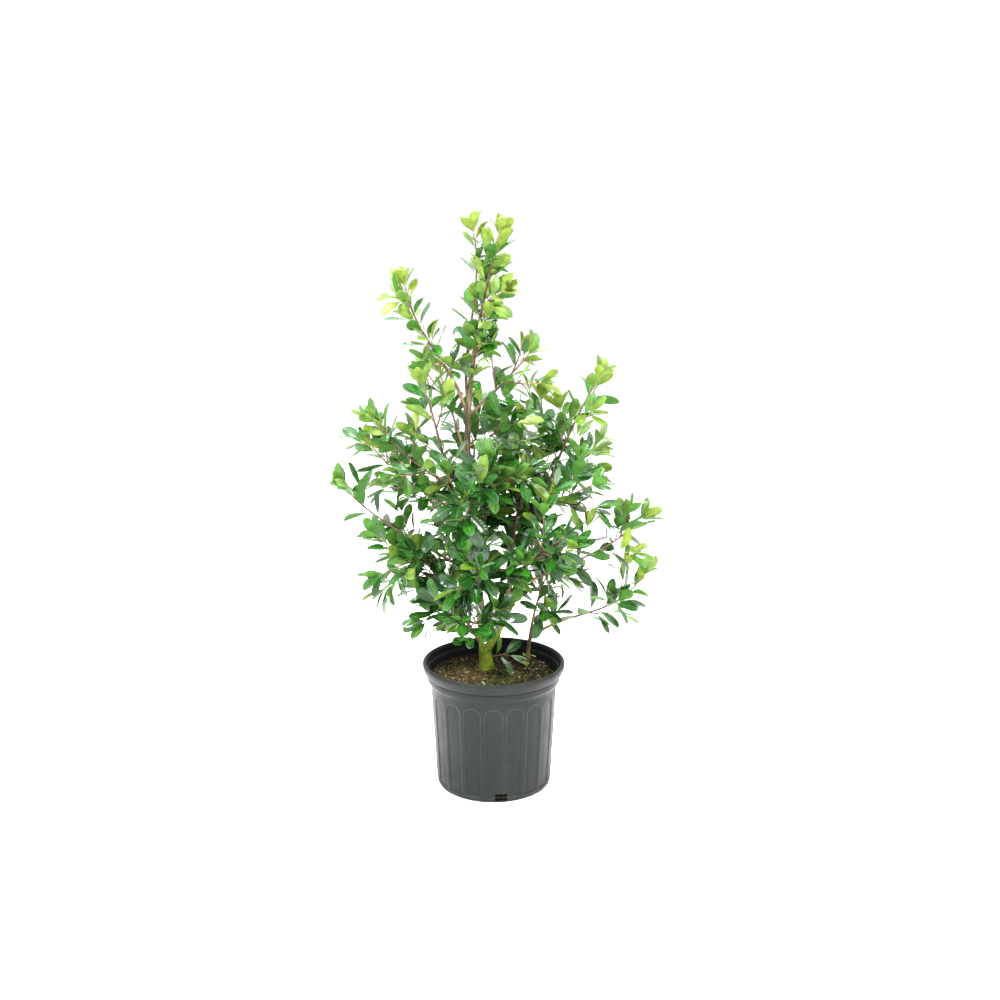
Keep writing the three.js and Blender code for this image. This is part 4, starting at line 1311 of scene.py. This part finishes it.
def make_leaves(name, finishes, chosen):
    """Some leaves as one joined piece, with a sharp edge between face and back. Each point also
    carries its place on its own leaf, for the veins."""
    count = len(chosen)
    own = {key: values[chosen] for key, values in leaves.items()}
    points = leaf_surface(own["foot"], own["ahead"], own["face"], own["size"], own["fresh"],
                          chosen * 0.618)
    first = LEAF_POINTS * np.arange(count)[:, None, None]
    faces = [(leaf_quads + first).reshape(-1, 4), (leaf_triangles + first).reshape(-1, 3)]
    nodes = sorted({masses[n]["name"] + "_leaves" for n in own["mass"]})
    tints = [np.tile(quad_tint, count), np.tile(triangle_tint, count)]
    place = np.tile(np.column_stack([LEAF_X, np.abs(LEAF_Y), 0 * LEAF_X]), (count, 1))
    piece = make_piece("leaves_" + name, points.reshape(-1, 3), faces, finishes, "foliage", nodes,
                       tints, {"blade": place})
    ends = np.zeros(2 * len(piece.data.edges), np.int32)
    piece.data.edges.foreach_get("vertices", ends)
    local = ends.reshape(-1, 2) % LEAF_POINTS
    border = np.where(local < GRID, np.isin(local % COLUMNS, (0, 5)), True).all(1)
    sharp = piece.data.attributes.new("sharp_edge", "BOOLEAN", "EDGE")
    sharp.data.foreach_set("value", border)


# %% [markdown]
# The leaf's face has a wax coat, so it has a second, sharper gloss over its own. A fresh leaf is
# still soft and has less of it. The face is a little wavy and has side veins, which only show in
# the gloss, so both are bump. The rib is paler and the back is matte.

# %% Leaf finishes
TONES = {  # the least freshness, the face, the back and the rib, the roughness and the coat
    "tip": (0.78, (106, 126, 32), (126, 148, 58), (124, 146, 52), 0.45, 0.3),
    "young": (0.56, (92, 123, 34), (118, 146, 58), (116, 144, 54), 0.38, 0.5),
    "fresh": (0.36, (62, 108, 32), (102, 140, 60), (98, 140, 56), 0.3, 1.0),
    "mature": (0.17, (34, 90, 21), (84, 132, 52), (76, 128, 46), 0.26, 1.0),
    "dark": (-9, (21, 67, 16), (68, 114, 44), (56, 108, 38), 0.24, 1.0),
}
VEINS = 8.0  # side veins along a leaf


def side_veins(finish):
    """The side veins as a height from -1 to 1: the sine of the place along the leaf less a part of
    the place across it, which slants the veins toward the tip."""
    slope = (2 * np.pi * VEINS, -0.3 * np.pi * VEINS, 0)
    slant = finish.node("VectorMath", {0: finish.own("blade", "Vector"), 1: slope}, "Value",
                        operation="DOT_PRODUCT")
    return finish.node("Math", {0: slant}, operation="SINE")


def leaf_finish(name, colour, roughness, specular, coat, waves):
    """One side of a leaf: its colour a quarter darker and lighter in fine noise, and waves."""
    finish = Finish(name, roughness, specular, Coat_Weight=coat, Coat_Roughness=0.17)
    cells = finish.noise(75, detail=3)
    finish.lead(finish.ramp(cells, (0.34, scaled(colour, 0.74)), (0.66, scaled(colour, 1.26))),
                "Base Color")
    finish.relief(finish.noise(70, detail=1), waves)
    return finish


def leaf_finishes(tone, upper, under, rib, gloss, coat):
    """The three materials of one tone: the glossy face with its side veins, the pale rib and the
    matte back."""
    face = leaf_finish(f"leaf_{tone}_face", srgb(*upper), gloss, 0.65, coat, 0.8)
    face.relief(side_veins(face), 0.06)
    rib = leaf_finish(f"leaf_{tone}_rib", srgb(*rib), 0.35, 0.4, 0.0, 0.2)
    back = leaf_finish(f"leaf_{tone}_back", srgb(*under), 0.55, 0.2, 0.0, 0.2)
    return [face.material, rib.material, back.material]


# %% The leaves of each tone
left_over = np.ones(len(leaves["size"]), bool)
for tone, (least, *look) in TONES.items():
    chosen = np.flatnonzero(left_over & (leaves["fresh"] > least))
    left_over[chosen] = False
    make_leaves(tone + "_1", leaf_finishes(tone, *look), chosen)
    print(tone, len(chosen))
